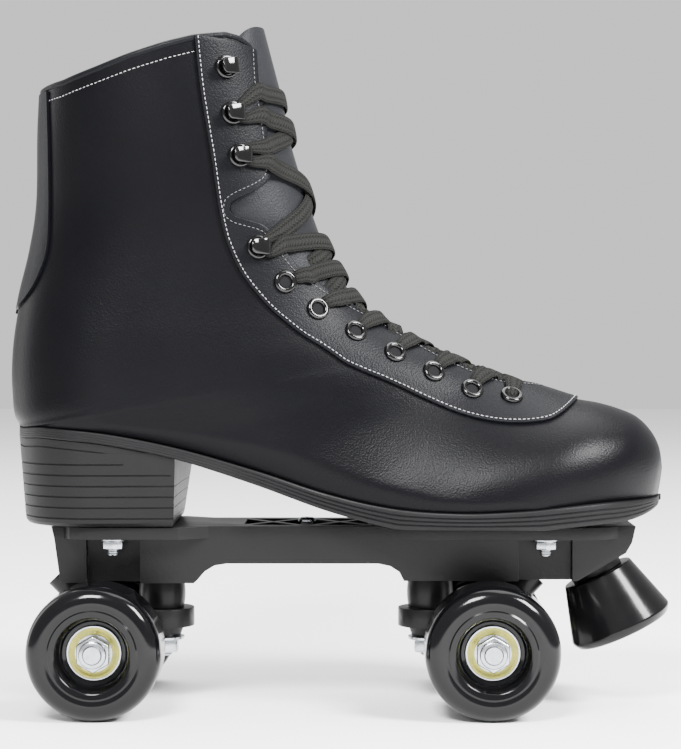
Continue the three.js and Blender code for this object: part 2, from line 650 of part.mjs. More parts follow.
// ---- Mounting bolts -----------------------------------------------------------------------------
const threadFoot = deckZ - 12;
const mountNutTop = deckZ - flangeThickness - gap;
const mountNutHeight = 4;
mounts.forEach(({ x, y }) => {
  const name = `${x < 0 ? 'rear' : 'front'}_${y < 0 ? 'right' : 'left'}`;
  const floor = Math.max(soleHeight(x - headRadius - 1), soleHeight(x + headRadius + 1)) + floorThickness * sizeZ;
  const seat = deckZ + 2 * gap + floor;
  const bolt = turned([[0, threadFoot], [boltRadius, threadFoot], [boltRadius, seat], [headRadius, seat],
    [headRadius - 1, seat + headHeight], [0, seat + headHeight]], 12);
  place(`mount_bolt_${name}`, bolt.translate(x, y, 0), steel);
  const nut = hexNut(mountNutFlats, boltRadius + gap, mountNutHeight);
  place(`mount_nut_${name}`, nut.translate(x, y, mountNutTop - mountNutHeight), steel);
});

// ---- Toe stop -----------------------------------------------------------------------------------
const stop = new THREE.Group();
stop.position.set(stopX, 0, stopZ);
stop.quaternion.setFromUnitVectors(new THREE.Vector3(0, 0, -1), stopAxis);
skate.add(stop);
const stopBoltHead = 6.5;
const stopSeat = -stopLength + 11;
place('toe_stop', turned([[4.4, 0], [stopTopRadius, 0], [stopFootRadius - 0.6, -stopLength + 4],
  [stopFootRadius, -stopLength + 2.6], [stopFootRadius - 1, -stopLength + 0.6], [stopFootRadius - 3, -stopLength],
  [8.5, -stopLength], [8, stopSeat], [4.4, stopSeat], [4.4, 0]], 24), rubber, stop);
place('toe_stop_bolt', turned([[0, stopSeat - 6], [stopBoltHead, stopSeat - 6], [stopBoltHead, stopSeat - gap],
  [4, stopSeat - gap], [4, 16], [0, 16]], 12), steel, stop);

// ---- Trucks -------------------------------------------------------------------------------------
const ringLow = ringRise - ringHeight / 2;
const ringHigh = ringRise + ringHeight / 2;
const ringHole = kingpinDiameter / 2 + 1.2;
const washerThickness = 1.2;
const lowerCushionFoot = ringLow - gap - lowerCushionHeight;
const washerFoot = lowerCushionFoot - gap - washerThickness;
const kingpinNutFoot = washerFoot - gap - kingpinNutHeight;
const housingHalf = wheelInnerY - 0.7;

function hanger() {
  const housing = lathe([[axleDiameter / 2 + gap, -housingHalf], [6.6, -housingHalf], [7.4, -9], [8.2, 0],
    [7.4, 9], [6.6, housingHalf], [axleDiameter / 2 + gap, housingHalf], [axleDiameter / 2 + gap, -housingHalf]], 20);
  const yoke = ring(ringHole, ringRadius, ringLow, ringHigh, 24).translate(kingpinInset, 0, 0);
  const arm = sideSlab([[0, -4], [8, -2], [kingpinInset - 10, ringLow], [kingpinInset - 10, ringHigh], [2, 7.8],
    [-4, 6]], 6.5);
  const bodyOfArm = cut(solid(arm), solid(lathe([[0, -9], [axleDiameter / 2 + gap, -9], [axleDiameter / 2 + gap, 9], [0, 9]], 20)));
  const neck = ballCentre.length() - 6;
  const pin = alongPin(turned([[0, -neck], [5.2, -neck], [3.3, -6], [3.3, -2], [pivotBallRadius, 0], [3.2, 2.2], [0, 3.6]], 16));
  const bored = cut(solid(pin), solid(lathe([[0, -9], [axleDiameter / 2 + gap, -9], [axleDiameter / 2 + gap, 9], [0, 9]], 20)));
  return join(solid(housing), solid(yoke), bodyOfArm, bored);
}

const kingpinTop = deckRise - 10;
const kingpin = turned([[0, kingpinNutFoot - 1.5], [kingpinDiameter / 2, kingpinNutFoot - 1.5],
  [kingpinDiameter / 2, kingpinTop], [0, kingpinTop]], 16);

for (const truck of trucks) {
  const frame = truckFrame(truck);
  skate.add(frame);
  const pieces = new THREE.Group();
  pieces.position.x = kingpinInset;
  frame.add(pieces);
  const boss = truck.name === 'front' ? bossRise + 1 : bossRise;
  const bore = kingpinDiameter / 2 + gap;
  place(`${truck.name}_hanger`, hanger(), nylon, frame);
  const tip = bearingFaceY + axleNutHeight + 1;
  place(`${truck.name}_axle`, lathe([[0, -tip], [axleDiameter / 2, -tip], [axleDiameter / 2, tip], [0, tip]], 16), steel, frame);
  place(`${truck.name}_kingpin`, kingpin.clone(), steel, pieces);
  place(`${truck.name}_kingpin_nut`, hexNut(nutFlats, bore, kingpinNutHeight).translate(0, 0, kingpinNutFoot), steel, pieces);
  place(`${truck.name}_cushion_washer`, ring(bore, 9.2, washerFoot, washerFoot + washerThickness, 16), steel, pieces);
  place(`${truck.name}_cushion_lower`, turned([[bore, lowerCushionFoot], [8, lowerCushionFoot], [9.2, ringLow - gap],
    [bore, ringLow - gap], [bore, lowerCushionFoot]], 16), rubber, pieces);
  place(`${truck.name}_cushion_upper`, turned([[bore, ringHigh + gap], [cushionRadius - 0.8, ringHigh + gap],
    [cushionRadius, ringHigh + 3], [cushionRadius, boss - 3], [cushionRadius - 0.8, boss - gap],
    [bore, boss - gap], [bore, ringHigh + gap]], 16), rubber, pieces);
  const cup = turned([[0, 5], [pivotBallRadius + 0.5, 5], [pivotBallRadius + 1, -4.5], [cupOuter, -4.5],
    [cupOuter, 5 + cupWall], [0, 5 + cupWall]], 16);
  place(`${truck.name}_pivot_cup`, alongPin(cup), rubber, frame);
}

// ---- Wheels -------------------------------------------------------------------------------------
function wheelProfile() {
  const r = wheelDiameter / 2 / Math.cos(Math.PI / wheelSides);
  const half = wheelWidth / 2;
  const seat = bearingDiameter / 2 + gap;
  const shoulderIn = outerBearingY - bearingWidth / 2 - gap;
  const shoulderOut = innerBearingY + bearingWidth / 2 + gap;
  return [[wheelLip, half], [22 / 27 * r, half], [25.6 / 27 * r, half - 1.8], [r, half - 5.5], [r, -half + 5.5],
    [25.6 / 27 * r, -half + 1.8], [22 / 27 * r, -half], [seat + 2, -half], [seat, -half + innerRecess - 1],
    [seat, shoulderOut], [9, shoulderOut], [9, shoulderIn], [seat, shoulderIn],
    [seat, half - outerRecess + 0.5], [wheelLip - 2.5, half - outerRecess + 1], [wheelLip, half]];
}

function bearing() {
  const half = bearingWidth / 2;
  const bore = axleDiameter / 2 + runningGap;
  return lathe([[bore, -half], [bearingDiameter / 2, -half], [bearingDiameter / 2, half], [bore, half], [bore, -half]], 16);
}

for (const { name, axleX } of trucks) {
  for (const [side, word] of [[-1, 'right'], [1, 'left']]) {
    const corner = new THREE.Group();
    corner.position.set(axleX, side * wheelY, axleZ);
    if (side < 0) corner.rotation.z = Math.PI;
    skate.add(corner);
    const tyre = lathe(wheelProfile(), wheelSides).rotateY(Math.PI / wheelSides);
    place(`wheel_${name}_${word}`, tyre, urethane, corner);
    place(`bearing_outer_${name}_${word}`, bearing().translate(0, outerBearingY, 0), zinc, corner);
    place(`bearing_inner_${name}_${word}`, bearing().translate(0, innerBearingY, 0), zinc, corner);
    const nut = hexNut(nutFlats, axleDiameter / 2 + gap, axleNutHeight).rotateX(-Math.PI / 2);
    place(`axle_nut_${name}_${word}`, nut.translate(0, bearingFaceY - wheelY + gap, 0), steel, corner);
  }
}

export default skate;
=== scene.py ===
"""Quad roller skate: a laced black boot on a nylon plate, with sprung trucks, wheels and a toe stop."""
import math

import bpy
import numpy as np
from mathutils import Matrix, Vector
from mathutils.bvhtree import BVHTree


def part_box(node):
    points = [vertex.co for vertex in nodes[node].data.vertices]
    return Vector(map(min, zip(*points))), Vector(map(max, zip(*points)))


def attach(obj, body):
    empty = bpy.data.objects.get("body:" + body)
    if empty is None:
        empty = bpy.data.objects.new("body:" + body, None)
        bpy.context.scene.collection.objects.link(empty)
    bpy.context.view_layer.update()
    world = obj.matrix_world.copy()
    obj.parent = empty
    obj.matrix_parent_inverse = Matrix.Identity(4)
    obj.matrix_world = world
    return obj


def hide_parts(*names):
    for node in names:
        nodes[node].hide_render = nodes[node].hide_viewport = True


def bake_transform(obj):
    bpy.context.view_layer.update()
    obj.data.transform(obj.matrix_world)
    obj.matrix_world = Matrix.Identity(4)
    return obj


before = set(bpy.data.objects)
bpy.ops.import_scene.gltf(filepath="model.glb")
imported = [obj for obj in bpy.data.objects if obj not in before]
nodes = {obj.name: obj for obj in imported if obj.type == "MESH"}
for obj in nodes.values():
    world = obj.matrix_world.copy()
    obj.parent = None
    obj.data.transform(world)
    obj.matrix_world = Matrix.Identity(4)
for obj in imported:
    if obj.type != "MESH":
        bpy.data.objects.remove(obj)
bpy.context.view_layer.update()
MM = 0.001
RIGHT, LEFT = -1, 1
SIDES = {"right": RIGHT, "left": LEFT}
TRUCKS = ("front", "rear")


# ---- Camera, light and floor --------------------------------------------------------------------
def add_camera():
    camera = bpy.data.objects.new("camera", bpy.data.cameras.new("camera"))
    bpy.context.scene.collection.objects.link(camera)
    camera.location = (0.004, -0.943, 0.1606)
    camera.rotation_euler = (math.radians(90 - 1.459), 0, math.radians(0.241))
    camera.data.lens = 108.55
    camera.data.sensor_width = 36
    bpy.context.scene.camera = camera


def softbox(name, place, target, size, watts):
    light = bpy.data.lights.new(name, "AREA")
    light.shape = "RECTANGLE"
    light.size, light.size_y = size
    light.energy = watts
    lamp = bpy.data.objects.new(name, light)
    bpy.context.scene.collection.objects.link(lamp)
    lamp.location = place
    lamp.rotation_euler = (Vector(target) - Vector(place)).to_track_quat("-Z", "Y").to_euler()


def add_studio():
    world = bpy.data.worlds.new("studio")
    bpy.context.scene.world = world
    world.use_nodes = True
    world.node_tree.nodes["Background"].inputs["Color"].default_value = (1, 1, 1, 1)
    world.node_tree.nodes["Background"].inputs["Strength"].default_value = 0.9
    softbox("key", (-0.25, -0.9, 0.95), (0, 0, 0.12), (0.35, 0.35), 44)
    softbox("toe_light", (0.75, -0.5, 0.8), (0.05, 0, 0.1), (0.3, 0.4), 48)
    softbox("top_light", (0.1, 0.5, 1.3), (0, 0.4, 0), (1.6, 1.0), 34)
    softbox("rim_light", (-0.9, 0.35, 0.4), (0, 0, 0.15), (0.3, 0.8), 3)


def add_floor():
    bpy.ops.mesh.primitive_plane_add(size=6, location=(0, 0, 0))
    floor = bpy.context.object
    floor.name = "floor"
    floor.data.materials.append(paper)


# ---- Shader wiring ------------------------------------------------------------------------------
class Wire:
    """A socket whose arithmetic adds Math nodes."""

    def __init__(self, finish, socket):
        self.finish = finish
        self.socket = socket

    def math(self, operation, *others):
        return self.finish.node("ShaderNodeMath", {"operation": operation}, [self, *others])

    def __add__(self, other):
        return self.math("ADD", other)

    def __radd__(self, other):
        return self.math("ADD", other)

    def __sub__(self, other):
        return self.math("SUBTRACT", other)

    def __rsub__(self, other):
        return self.finish.node("ShaderNodeMath", {"operation": "SUBTRACT"}, [other, self])

    def __mul__(self, other):
        return self.math("MULTIPLY", other)

    def __rmul__(self, other):
        return self.math("MULTIPLY", other)

    def sine(self):
        return self.math("SINE")

    def absolute(self):
        return self.math("ABSOLUTE")

    def fraction(self):
        return self.math("FRACT")

    def clamp(self, low, high):
        return self.math("MAXIMUM", low).math("MINIMUM", high)


class Finish:
    """One material: its Principled shader and the nodes that feed it."""

    def __init__(self, name, colour, roughness, metallic=0.0, specular=0.5, coat=0.0, coat_roughness=0.1):
        self.material = bpy.data.materials.new(name)
        self.material.use_nodes = True
        self.tree = self.material.node_tree
        self.shader = self.tree.nodes["Principled BSDF"]
        settings = {"Base Color": (*colour, 1), "Roughness": roughness, "Metallic": metallic,
                    "Specular IOR Level": specular, "Coat Weight": coat, "Coat Roughness": coat_roughness}
        for socket, value in settings.items():
            self.shader.inputs[socket].default_value = value

    def node(self, kind, settings=None, inputs=None, output=0):
        made = self.tree.nodes.new(kind)
        for key, value in (settings or {}).items():
            setattr(made, key, value)
        pairs = inputs.items() if isinstance(inputs, dict) else enumerate(inputs or [])
        for key, value in pairs:
            if isinstance(value, Wire):
                self.tree.links.new(value.socket, made.inputs[key])
            else:
                made.inputs[key].default_value = value
        return Wire(self, made.outputs[output])

    def place(self):
        return self.node("ShaderNodeTexCoord", output="Object")

    def uv(self):
        split = self.node("ShaderNodeSeparateXYZ", inputs=[self.node("ShaderNodeTexCoord", output="UV")])
        return split, Wire(self, split.socket.node.outputs[1])

    def noise(self, scale, detail=2.0, rough=0.5):
        return self.node("ShaderNodeTexNoise", inputs={"Vector": self.place(), "Scale": scale,
                                                       "Detail": detail, "Roughness": rough})

    def cells(self, scale, feature="F1"):
        return self.node("ShaderNodeTexVoronoi", {"feature": feature},
                         {"Vector": self.place(), "Scale": scale})

    def mix(self, factor, first, second):
        made = self.tree.nodes.new("ShaderNodeMix")
        made.data_type = "RGBA"
        for key, value in ((0, factor), (6, first), (7, second)):
            if isinstance(value, Wire):
                self.tree.links.new(value.socket, made.inputs[key])
            else:
                made.inputs[key].default_value = value if key == 0 else (*value, 1)
        return Wire(self, made.outputs[2])

    def feed(self, socket, wire):
        self.tree.links.new(wire.socket, self.shader.inputs[socket])

    def bump(self, height, strength, distance):
        inputs = {"Height": height, "Strength": strength, "Distance": distance}
        return self.node("ShaderNodeBump", inputs=inputs)


def leather_finish(name, colour, roughness, grain, depth):
    """Synthetic leather: fine pebbles with small pits, over slow changes of gloss."""
    finish = Finish(name, colour, roughness, specular=0.075)
    pebbles = finish.cells(grain, "SMOOTH_F1")
    pits = finish.noise(grain * 2.2, 3)
    creases = finish.noise(grain * 0.12, 4)
    height = pebbles * 0.8 + pits * 0.5 + creases * 0.35
    finish.feed("Normal", finish.bump(height, depth, 0.0002))
    cloud = finish.noise(22, 3)
    finish.feed("Roughness", (cloud * 0.16 + pits * 0.12 + (roughness - 0.14)))
    lighter = tuple(c * 1.6 + 0.0006 for c in colour)
    finish.feed("Base Color", finish.mix((pits * 0.7 + cloud * 0.3), colour, lighter))
    return finish.material


def moulded_finish(name, colour, roughness, grain, depth, coat=0.0):
    """Moulded plastic or rubber: a faint orange-peel skin and uneven gloss."""
    finish = Finish(name, colour, roughness, coat=coat, coat_roughness=0.08, specular=0.14)
    skin = finish.noise(grain, 3)
    dust = finish.noise(60, 4)
    finish.feed("Normal", finish.bump(skin, depth, 0.0002))
    finish.feed("Roughness", dust * 0.14 + skin * 0.06 + (roughness - 0.1))
    finish.feed("Base Color", finish.mix(dust, colour, tuple(c * 1.5 + 0.0005 for c in colour)))
    return finish.material


def metal_finish(name, colour, roughness, stain):
    """Plated steel: brushed fine noise and patches of a second tint."""
    finish = Finish(name, colour, roughness, metallic=1.0)
    brushed = finish.noise(2600, 2)
    patches = finish.noise(240, 3)
    finish.feed("Normal", finish.bump(brushed, 0.25, 0.00005))
    finish.feed("Roughness", patches * 0.18 + brushed * 0.1 + (roughness - 0.12))
    finish.feed("Base Color", finish.mix(patches, colour, stain))
    return finish.material


def braid_finish(name, colour, length, chevrons, ribs):
    """Flat braid: rows of small chevrons that follow the lace's own length (u) and width (v)."""
    finish = Finish(name, colour, 0.75, specular=0.08)
    around, along = finish.uv()
    row = (around * ribs).fraction()
    slope = (row - 0.5).absolute()
    chevron = ((along * (length * chevrons) + slope * 1.6) * (2 * math.pi)).sine() * 0.5 + 0.5
    rib = (row * math.pi).sine().absolute()
    fluff = finish.noise(3000, 3)
    height = chevron * 0.55 + rib * 0.9 + fluff * 0.25
    finish.feed("Normal", finish.bump(height, 0.9, 0.0004))
    # Painted light: the colour follows the ribs and chevrons, with painted shade in the grooves and a painted
    # highlight on the crests.
    painted_rib_shade = (chevron * 0.5 + rib * 0.5).clamp(0, 1)
    groove_shade_colour, light = tuple(c * 0.35 for c in colour), tuple(c * 1.8 for c in colour)
    finish.feed("Base Color", finish.mix(painted_rib_shade, groove_shade_colour, light))
    return finish.material


def thread_finish(name, colour):
    finish = Finish(name, colour, 0.7, specular=0.2)
    twist = finish.noise(4000, 2)
    finish.feed("Normal", finish.bump(twist, 0.5, 0.0001))
    finish.feed("Base Color", finish.mix(twist, tuple(c * 0.55 for c in colour), colour))
    return finish.material


paper = Finish("paper", (0.93, 0.93, 0.93), 0.95, specular=0.1).material
leather = leather_finish("boot_leather", (0.0012, 0.0012, 0.0017), 0.35, 1500, 0.5)
# Painted sheen: the trim leather is a lighter copy of the boot leather that stands in for the sheen on the
# facing. The back strip and collar binding share it.
sheen_lit_trim_leather = leather_finish("sheen_lit_trim_leather", (0.0024, 0.0025, 0.0032), 0.38, 1500, 0.6)
tongue_leather = leather_finish("tongue_leather", (0.008, 0.0083, 0.0095), 0.4, 1500, 0.6)
lining = leather_finish("lining", (0.004, 0.004, 0.0045), 0.8, 900, 0.4)
sole_finish = moulded_finish("sole_plastic", (0.0035, 0.0035, 0.0038), 0.45, 1400, 0.25)
nylon = moulded_finish("nylon", (0.004, 0.004, 0.0042), 0.38, 1100, 0.35)
truck_nylon = moulded_finish("truck_metal", (0.003, 0.003, 0.0032), 0.33, 700, 0.3)
urethane = moulded_finish("wheel_urethane", (0.0012, 0.0012, 0.0015), 0.14, 90, 0.1, coat=0.16)
cushion_rubber = moulded_finish("cushion_rubber", (0.004, 0.004, 0.0042), 0.33, 600, 0.2)
stop_rubber = moulded_finish("stop_rubber", (0.0018, 0.0018, 0.002), 0.22, 300, 0.2, coat=0.1)
enamel = moulded_finish("black_enamel", (0.001, 0.001, 0.001), 0.08, 300, 0.05, coat=0.5)
steel = metal_finish("bright_steel", (0.55, 0.57, 0.6), 0.24, (0.34, 0.36, 0.38))
zinc = metal_finish("yellow_zinc", (0.30, 0.26, 0.05), 0.26, (0.17, 0.19, 0.06))
white_thread = thread_finish("white_thread", (0.42, 0.42, 0.43))
grey_thread = thread_finish("grey_thread", (0.13, 0.13, 0.135))
gold_weave = thread_finish("gold_weave", (0.42, 0.34, 0.06))


# ---- Mesh helpers -------------------------------------------------------------------------------
def deselect():
    bpy.ops.object.select_all(action="DESELECT")


def activate(piece):
    deselect()
    piece.select_set(True)
    bpy.context.view_layer.objects.active = piece


def apply_modifier(piece, kind, **settings):
    activate(piece)
    modifier = piece.modifiers.new(kind.lower(), kind)
    for key, value in settings.items():
        setattr(modifier, key, value)
    bpy.ops.object.modifier_apply(modifier=modifier.name)


def bevel(piece, width, segments, degrees):
    """Rounds the edges sharper than an angle, width in millimetres."""
    apply_modifier(piece, "BEVEL", width=width * MM, segments=segments, limit_method="ANGLE",
                   angle_limit=math.radians(degrees), use_clamp_overlap=True)


def merge(piece, distance=1e-6, recalculate=False):
    activate(piece)
    bpy.ops.object.mode_set(mode="EDIT")
    bpy.ops.mesh.select_all(action="SELECT")
    bpy.ops.mesh.remove_doubles(threshold=distance)
    if recalculate:
        bpy.ops.mesh.normals_make_consistent(inside=False)
    bpy.ops.object.mode_set(mode="OBJECT")


def smooth(piece, degrees=40):
    activate(piece)
    bpy.ops.object.shade_smooth_by_angle(angle=math.radians(degrees))


def settle(piece, name, material, body="root", replaces=()):
    """Names a finished piece, gives it its material and hangs it on its body."""
    activate(piece)
    bpy.ops.object.transform_apply(location=True, rotation=True, scale=True)
    piece.name = name
    piece.data.name = name
    if not piece.data.materials:
        piece.data.materials.append(material)
    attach(piece, body)
    if replaces:
        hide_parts(*replaces)
    return piece


def sheet(rows, columns, points):
    """A grid primitive whose vertices are moved to points[row, column] (millimetres)."""
    deselect()
    bpy.ops.mesh.primitive_grid_add(x_subdivisions=columns - 1, y_subdivisions=rows - 1, size=1)
    piece = bpy.context.object
    piece.data.vertices.foreach_set("co", (points.reshape(-1, 3) * MM).astype(np.float32).ravel())
    piece.data.update()
    return piece


def face_outwards(piece, middle):
    """Turns the faces of an open sheet away from a point inside it."""
    total = 0.0
    for polygon in piece.data.polygons:
        total += polygon.area * polygon.normal.dot(polygon.center - Vector(middle) * MM)
    if total < 0:
        piece.data.flip_normals()


def turned(profile, centre, axis=(0, 0, 1), steps=72):
    """A profile of [radius, height] points spun round an axis through centre (millimetres)."""
    deselect()
    bpy.ops.mesh.primitive_circle_add(vertices=3, radius=MM)
    piece = bpy.context.object
    mesh = bpy.data.meshes.new("profile")
    corners = [(r * MM, 0, h * MM) for r, h in profile]
    mesh.from_pydata(corners, [(i, i + 1) for i in range(len(corners) - 1)], [])
    piece.data = mesh
    bpy.ops.object.mode_set(mode="EDIT")
    bpy.ops.mesh.select_all(action="SELECT")
    bpy.ops.mesh.spin(steps=steps, angle=2 * math.pi, center=(0, 0, 0), axis=(0, 0, 1))
    bpy.ops.mesh.select_all(action="SELECT")
    bpy.ops.mesh.remove_doubles(threshold=1e-6)
    bpy.ops.mesh.normals_make_consistent(inside=False)
    bpy.ops.object.mode_set(mode="OBJECT")
    turn = Vector((0, 0, 1)).rotation_difference(Vector(axis)).to_matrix().to_4x4()
    piece.data.transform(Matrix.Translation(Vector(centre) * MM) @ turn)
    smooth(piece, 32)
    return piece


def arc(centre_r, centre_h, radius, start, end, steps=6):
    """Points of a round stretch in a profile, angles in degrees from +radius towards +height."""
    angles = [math.radians(start + (end - start) * i / steps) for i in range(steps + 1)]
    return [(centre_r + radius * math.cos(a), centre_h + radius * math.sin(a)) for a in angles]


def hexagon(flats, height, centre, axis=(0, 0, 1), chamfer=0.5):
    """A hexagon nut blank with chamfered corners, standing on centre along axis."""
    deselect()
    corner = flats / 2 / math.cos(math.pi / 6)
    bpy.ops.mesh.primitive_cylinder_add(vertices=6, radius=corner * MM, depth=height * MM,
                                        location=(0, 0, height / 2 * MM))
    piece = bpy.context.object
    bpy.ops.object.transform_apply(location=True, rotation=True, scale=True)
    bevel(piece, chamfer, 3, 50)
    turn = Vector((0, 0, 1)).rotation_difference(Vector(axis)).to_matrix().to_4x4()
    piece.data.transform(Matrix.Translation(Vector(centre) * MM) @ turn)
    smooth(piece, 35)
    return piece


def join(pieces):
    activate(pieces[0])
    for piece in pieces:
        piece.select_set(True)
    bpy.context.view_layer.objects.active = pieces[0]
    bpy.ops.object.join()
    return bpy.context.object


def refined(node, width=0.5, degrees=30, segments=2):
    """A copy of a CAD node with its edges rounded."""
    piece = nodes[node].copy()
    piece.data = nodes[node].data.copy()
    piece.parent = None
    bpy.context.scene.collection.objects.link(piece)
    piece.data.materials.clear()
    for key in list(piece.keys()):
        del piece[key]
    activate(piece)
    bpy.ops.object.mode_set(mode="EDIT")
    bpy.ops.mesh.select_all(action="SELECT")
    bpy.ops.mesh.remove_doubles(threshold=2e-6)
    bpy.ops.mesh.dissolve_limited(angle_limit=math.radians(1.5))
    bpy.ops.object.mode_set(mode="OBJECT")
    bevel(piece, width, segments, degrees)
    smooth(piece, 40)
    return piece


# ---- Boot form (millimetres) --------------------------------------------------------------------
BOOT_Z = 75.3                               # foot of the boot's own heights
WALL = 2.7
SKIN = 1.2
INFLARE = 4
HEEL_STATION = 7
# [back x, back z, front x, front z, half width, back rounding, front rounding, fullness]
STATIONS = np.array([
    [-123.5, 189, -33.0, 210.5, 37.5, 0.50, 0.50, 2.2],
    [-125.0, 163, -21.5, 168.0, 36.0, 0.48, 0.52, 2.2],
    [-125.6, 133, -11.0, 133.0, 34.5, 0.46, 0.54, 2.3],
    [-128.6, 113, -3.5, 113.5, 34.0, 0.42, 0.58, 2.4],
    [-133.4, 93, 8.5, 93.0, 34.5, 0.36, 0.60, 2.4],
    [-136.5, 73, 18.5, 83.5, 35.5, 0.30, 0.60, 2.4],
    [-136.8, 55, 28.0, 78.0, 36.0, 0.25, 0.58, 2.4],
    [-133.9, 41.2, 37.4, 73.9, 36.0, 0.21, 0.58, 2.4],
    [-120.0, 40.5, 45.0, 70.4, 35.8, 0.22, 0.60, 2.3],
    [-95.0, 38.2, 53.0, 66.8, 35.4, 0.26, 0.66, 2.2],
    [-66.0, 32.4, 61.0, 63.6, 35.0, 0.30, 0.74, 2.1],
    [-35.0, 23.5, 69.5, 60.2, 35.5, 0.34, 0.82, 2.0],
    [-5.0, 14.0, 78.5, 57.4, 38.5, 0.36, 0.90, 2.0],
    [22.0, 8.5, 88.0, 54.4, 43.0, 0.38, 0.94, 2.0],
    [48.7, 7.0, 98.0, 51.3, 46.5, 0.40, 0.96, 2.1],
    [72.0, 7.9, 107.5, 49.6, 46.5, 0.42, 0.97, 2.2],
    [91.0, 9.5, 116.0, 47.2, 42.5, 0.45, 0.98, 2.3],
    [107.0, 10.6, 123.8, 43.8, 35.5, 0.5, 0.98, 2.4],
    [120.0, 10.8, 129.8, 38.0, 25.5, 0.5, 0.98, 2.4],
    [128.5, 11.0, 133.4, 31.2, 15.0, 0.5, 0.98, 2.4],
    [132.8, 11.3, 134.9, 23.0, 3.5, 0.5, 0.98, 2.4],
])
SOLE_WIDTHS = np.array([[-134, 33], [-100, 33], [-66, 31], [-30, 29.5], [10, 36], [45, 44], [72, 45.5],
                        [134, 45.5]])
HEEL_BACK, HEEL_ROUND = -134.0, -101.0
FLOOR_SHARE = 0.06                          # share of the way round that lies on the sole
COLLAR_BACK_X = -122.5                      # behind this the collar is too steep to look up
TOE_ROUND, TOE_TIP = 70.0, 133.2
LAST = len(STATIONS) - 1


def cubic(a, b, c, d, t):
    return b + 0.5 * t * (c - a + t * (2 * a - 5 * b + 4 * c - d + t * (3 * (b - c) + d - a)))


def along_rows(table, t):
    """Smooth values between the rows of a table, for an array of row positions t."""
    t = np.asarray(t, float)
    i = np.clip(np.floor(t).astype(int), 0, len(table) - 2)
    row = [table[np.clip(i + k, 0, len(table) - 1)] for k in (-1, 0, 1, 2)]
    share = (t - i)[..., None] if table.ndim > 1 else t - i
    return cubic(*row, share)


def round_off(u, power=2.0):
    return np.sqrt(np.maximum(0, 1 - (1 - np.clip(u, 0, 1)) ** power))


def plan_half(x):
    x = np.asarray(x, float)
    i = np.clip(np.searchsorted(SOLE_WIDTHS[:, 0], x) - 1, 0, len(SOLE_WIDTHS) - 2)
    share = np.clip((x - SOLE_WIDTHS[i, 0]) / (SOLE_WIDTHS[i + 1, 0] - SOLE_WIDTHS[i, 0]), 0, 1)
    width = along_rows(SOLE_WIDTHS[:, 1], i + share)
    heel = np.where(x < HEEL_ROUND, round_off((x - HEEL_BACK) / (HEEL_ROUND - HEEL_BACK)), 1)
    toe = np.where(x > TOE_ROUND, round_off((TOE_TIP - x) / (TOE_TIP - TOE_ROUND), 2.2), 1)
    return width * heel * toe


def centre_line(x):
    return np.where(x > 0, INFLARE * (x / TOE_TIP) ** 2, 0)


def form(t, q, inset=0.0):
    """Point of the boot at station t and angle q: 0 on the instep, -pi and pi at the back or sole."""
    t, q = np.broadcast_arrays(np.asarray(t, float), np.asarray(q, float))
    rows = along_rows(STATIONS, t)
    back_x, back_z, front_x, front_z, width, back, front, fullness = np.moveaxis(rows, -1, 0)
    s = (1 + np.cos(q)) / 2
    length = np.hypot(front_x - back_x, front_z - back_z)
    dir_x, dir_z = (front_x - back_x) / length, (front_z - back_z) / length
    base = np.where(t > HEEL_STATION, plan_half(back_x), 0)
    offset = back * (1 - np.sqrt(1 - (np.minimum(base, width * 0.995) / width) ** 2))
    rise = (1 - np.cos(np.minimum(np.abs(q), np.pi))) / 2
    half = np.maximum(0.4, width - inset) * round_off((s + offset) / back) * round_off(rise / front, fullness)
    x = back_x + inset * dir_x + s * (front_x - back_x - 2 * inset * dir_x)
    z = back_z + inset * dir_z + s * (front_z - back_z - 2 * inset * dir_z)
    y = np.sign(q) * half + centre_line(x)
    return np.stack([x, y, z + BOOT_Z], -1)


def form_normal(t, q):
    step = 0.01
    across = form(t + step, q) - form(t - step, q)
    around = form(t, q + step) - form(t, q - step)
    normal = np.cross(across, around)
    normal /= np.maximum(np.linalg.norm(normal, axis=-1, keepdims=True), 1e-9)
    rows = along_rows(STATIONS, t)
    middle = np.stack([(rows[..., 0] + rows[..., 2]) / 2, np.zeros_like(rows[..., 0]),
                       (rows[..., 1] + rows[..., 3]) / 2 + BOOT_Z], -1)
    inwards = np.sum(normal * (form(t, q) - middle), -1, keepdims=True) < 0
    return np.where(inwards, -normal, normal)


def laid(t, q, lift):
    """Point that lies lift above the boot's skin."""
    return form(t, q) + form_normal(t, q) * np.asarray(lift)[..., None]


def locate(x, z, side):
    """Station and angle of the skin that shows at x, z in the side view (z above the boot's foot)."""
    x, z = np.asarray(x, float), np.asarray(z, float)
    low, high = np.full_like(x, -0.4), np.full_like(x, LAST)
    for _ in range(40):
        t = (low + high) / 2
        rows = along_rows(STATIONS, t)
        back_x, back_z, front_x, front_z = (rows[..., k] for k in range(4))
        above = (front_x - back_x) * (z - back_z) - (front_z - back_z) * (x - back_x)
        low, high = np.where(above < 0, t, low), np.where(above < 0, high, t)
    rows = along_rows(STATIONS, low)
    run, rise = rows[..., 2] - rows[..., 0], rows[..., 3] - rows[..., 1]
    s = ((x - rows[..., 0]) * run + (z - rows[..., 1]) * rise) / (run ** 2 + rise ** 2)
    return low, side * np.arccos(np.clip(2 * s - 1, -1, 1))


def fine(points, count):
    """count points of a smooth curve through rows of values."""
    points = np.asarray(points, float)
    return along_rows(points, np.linspace(0, len(points) - 1, count))


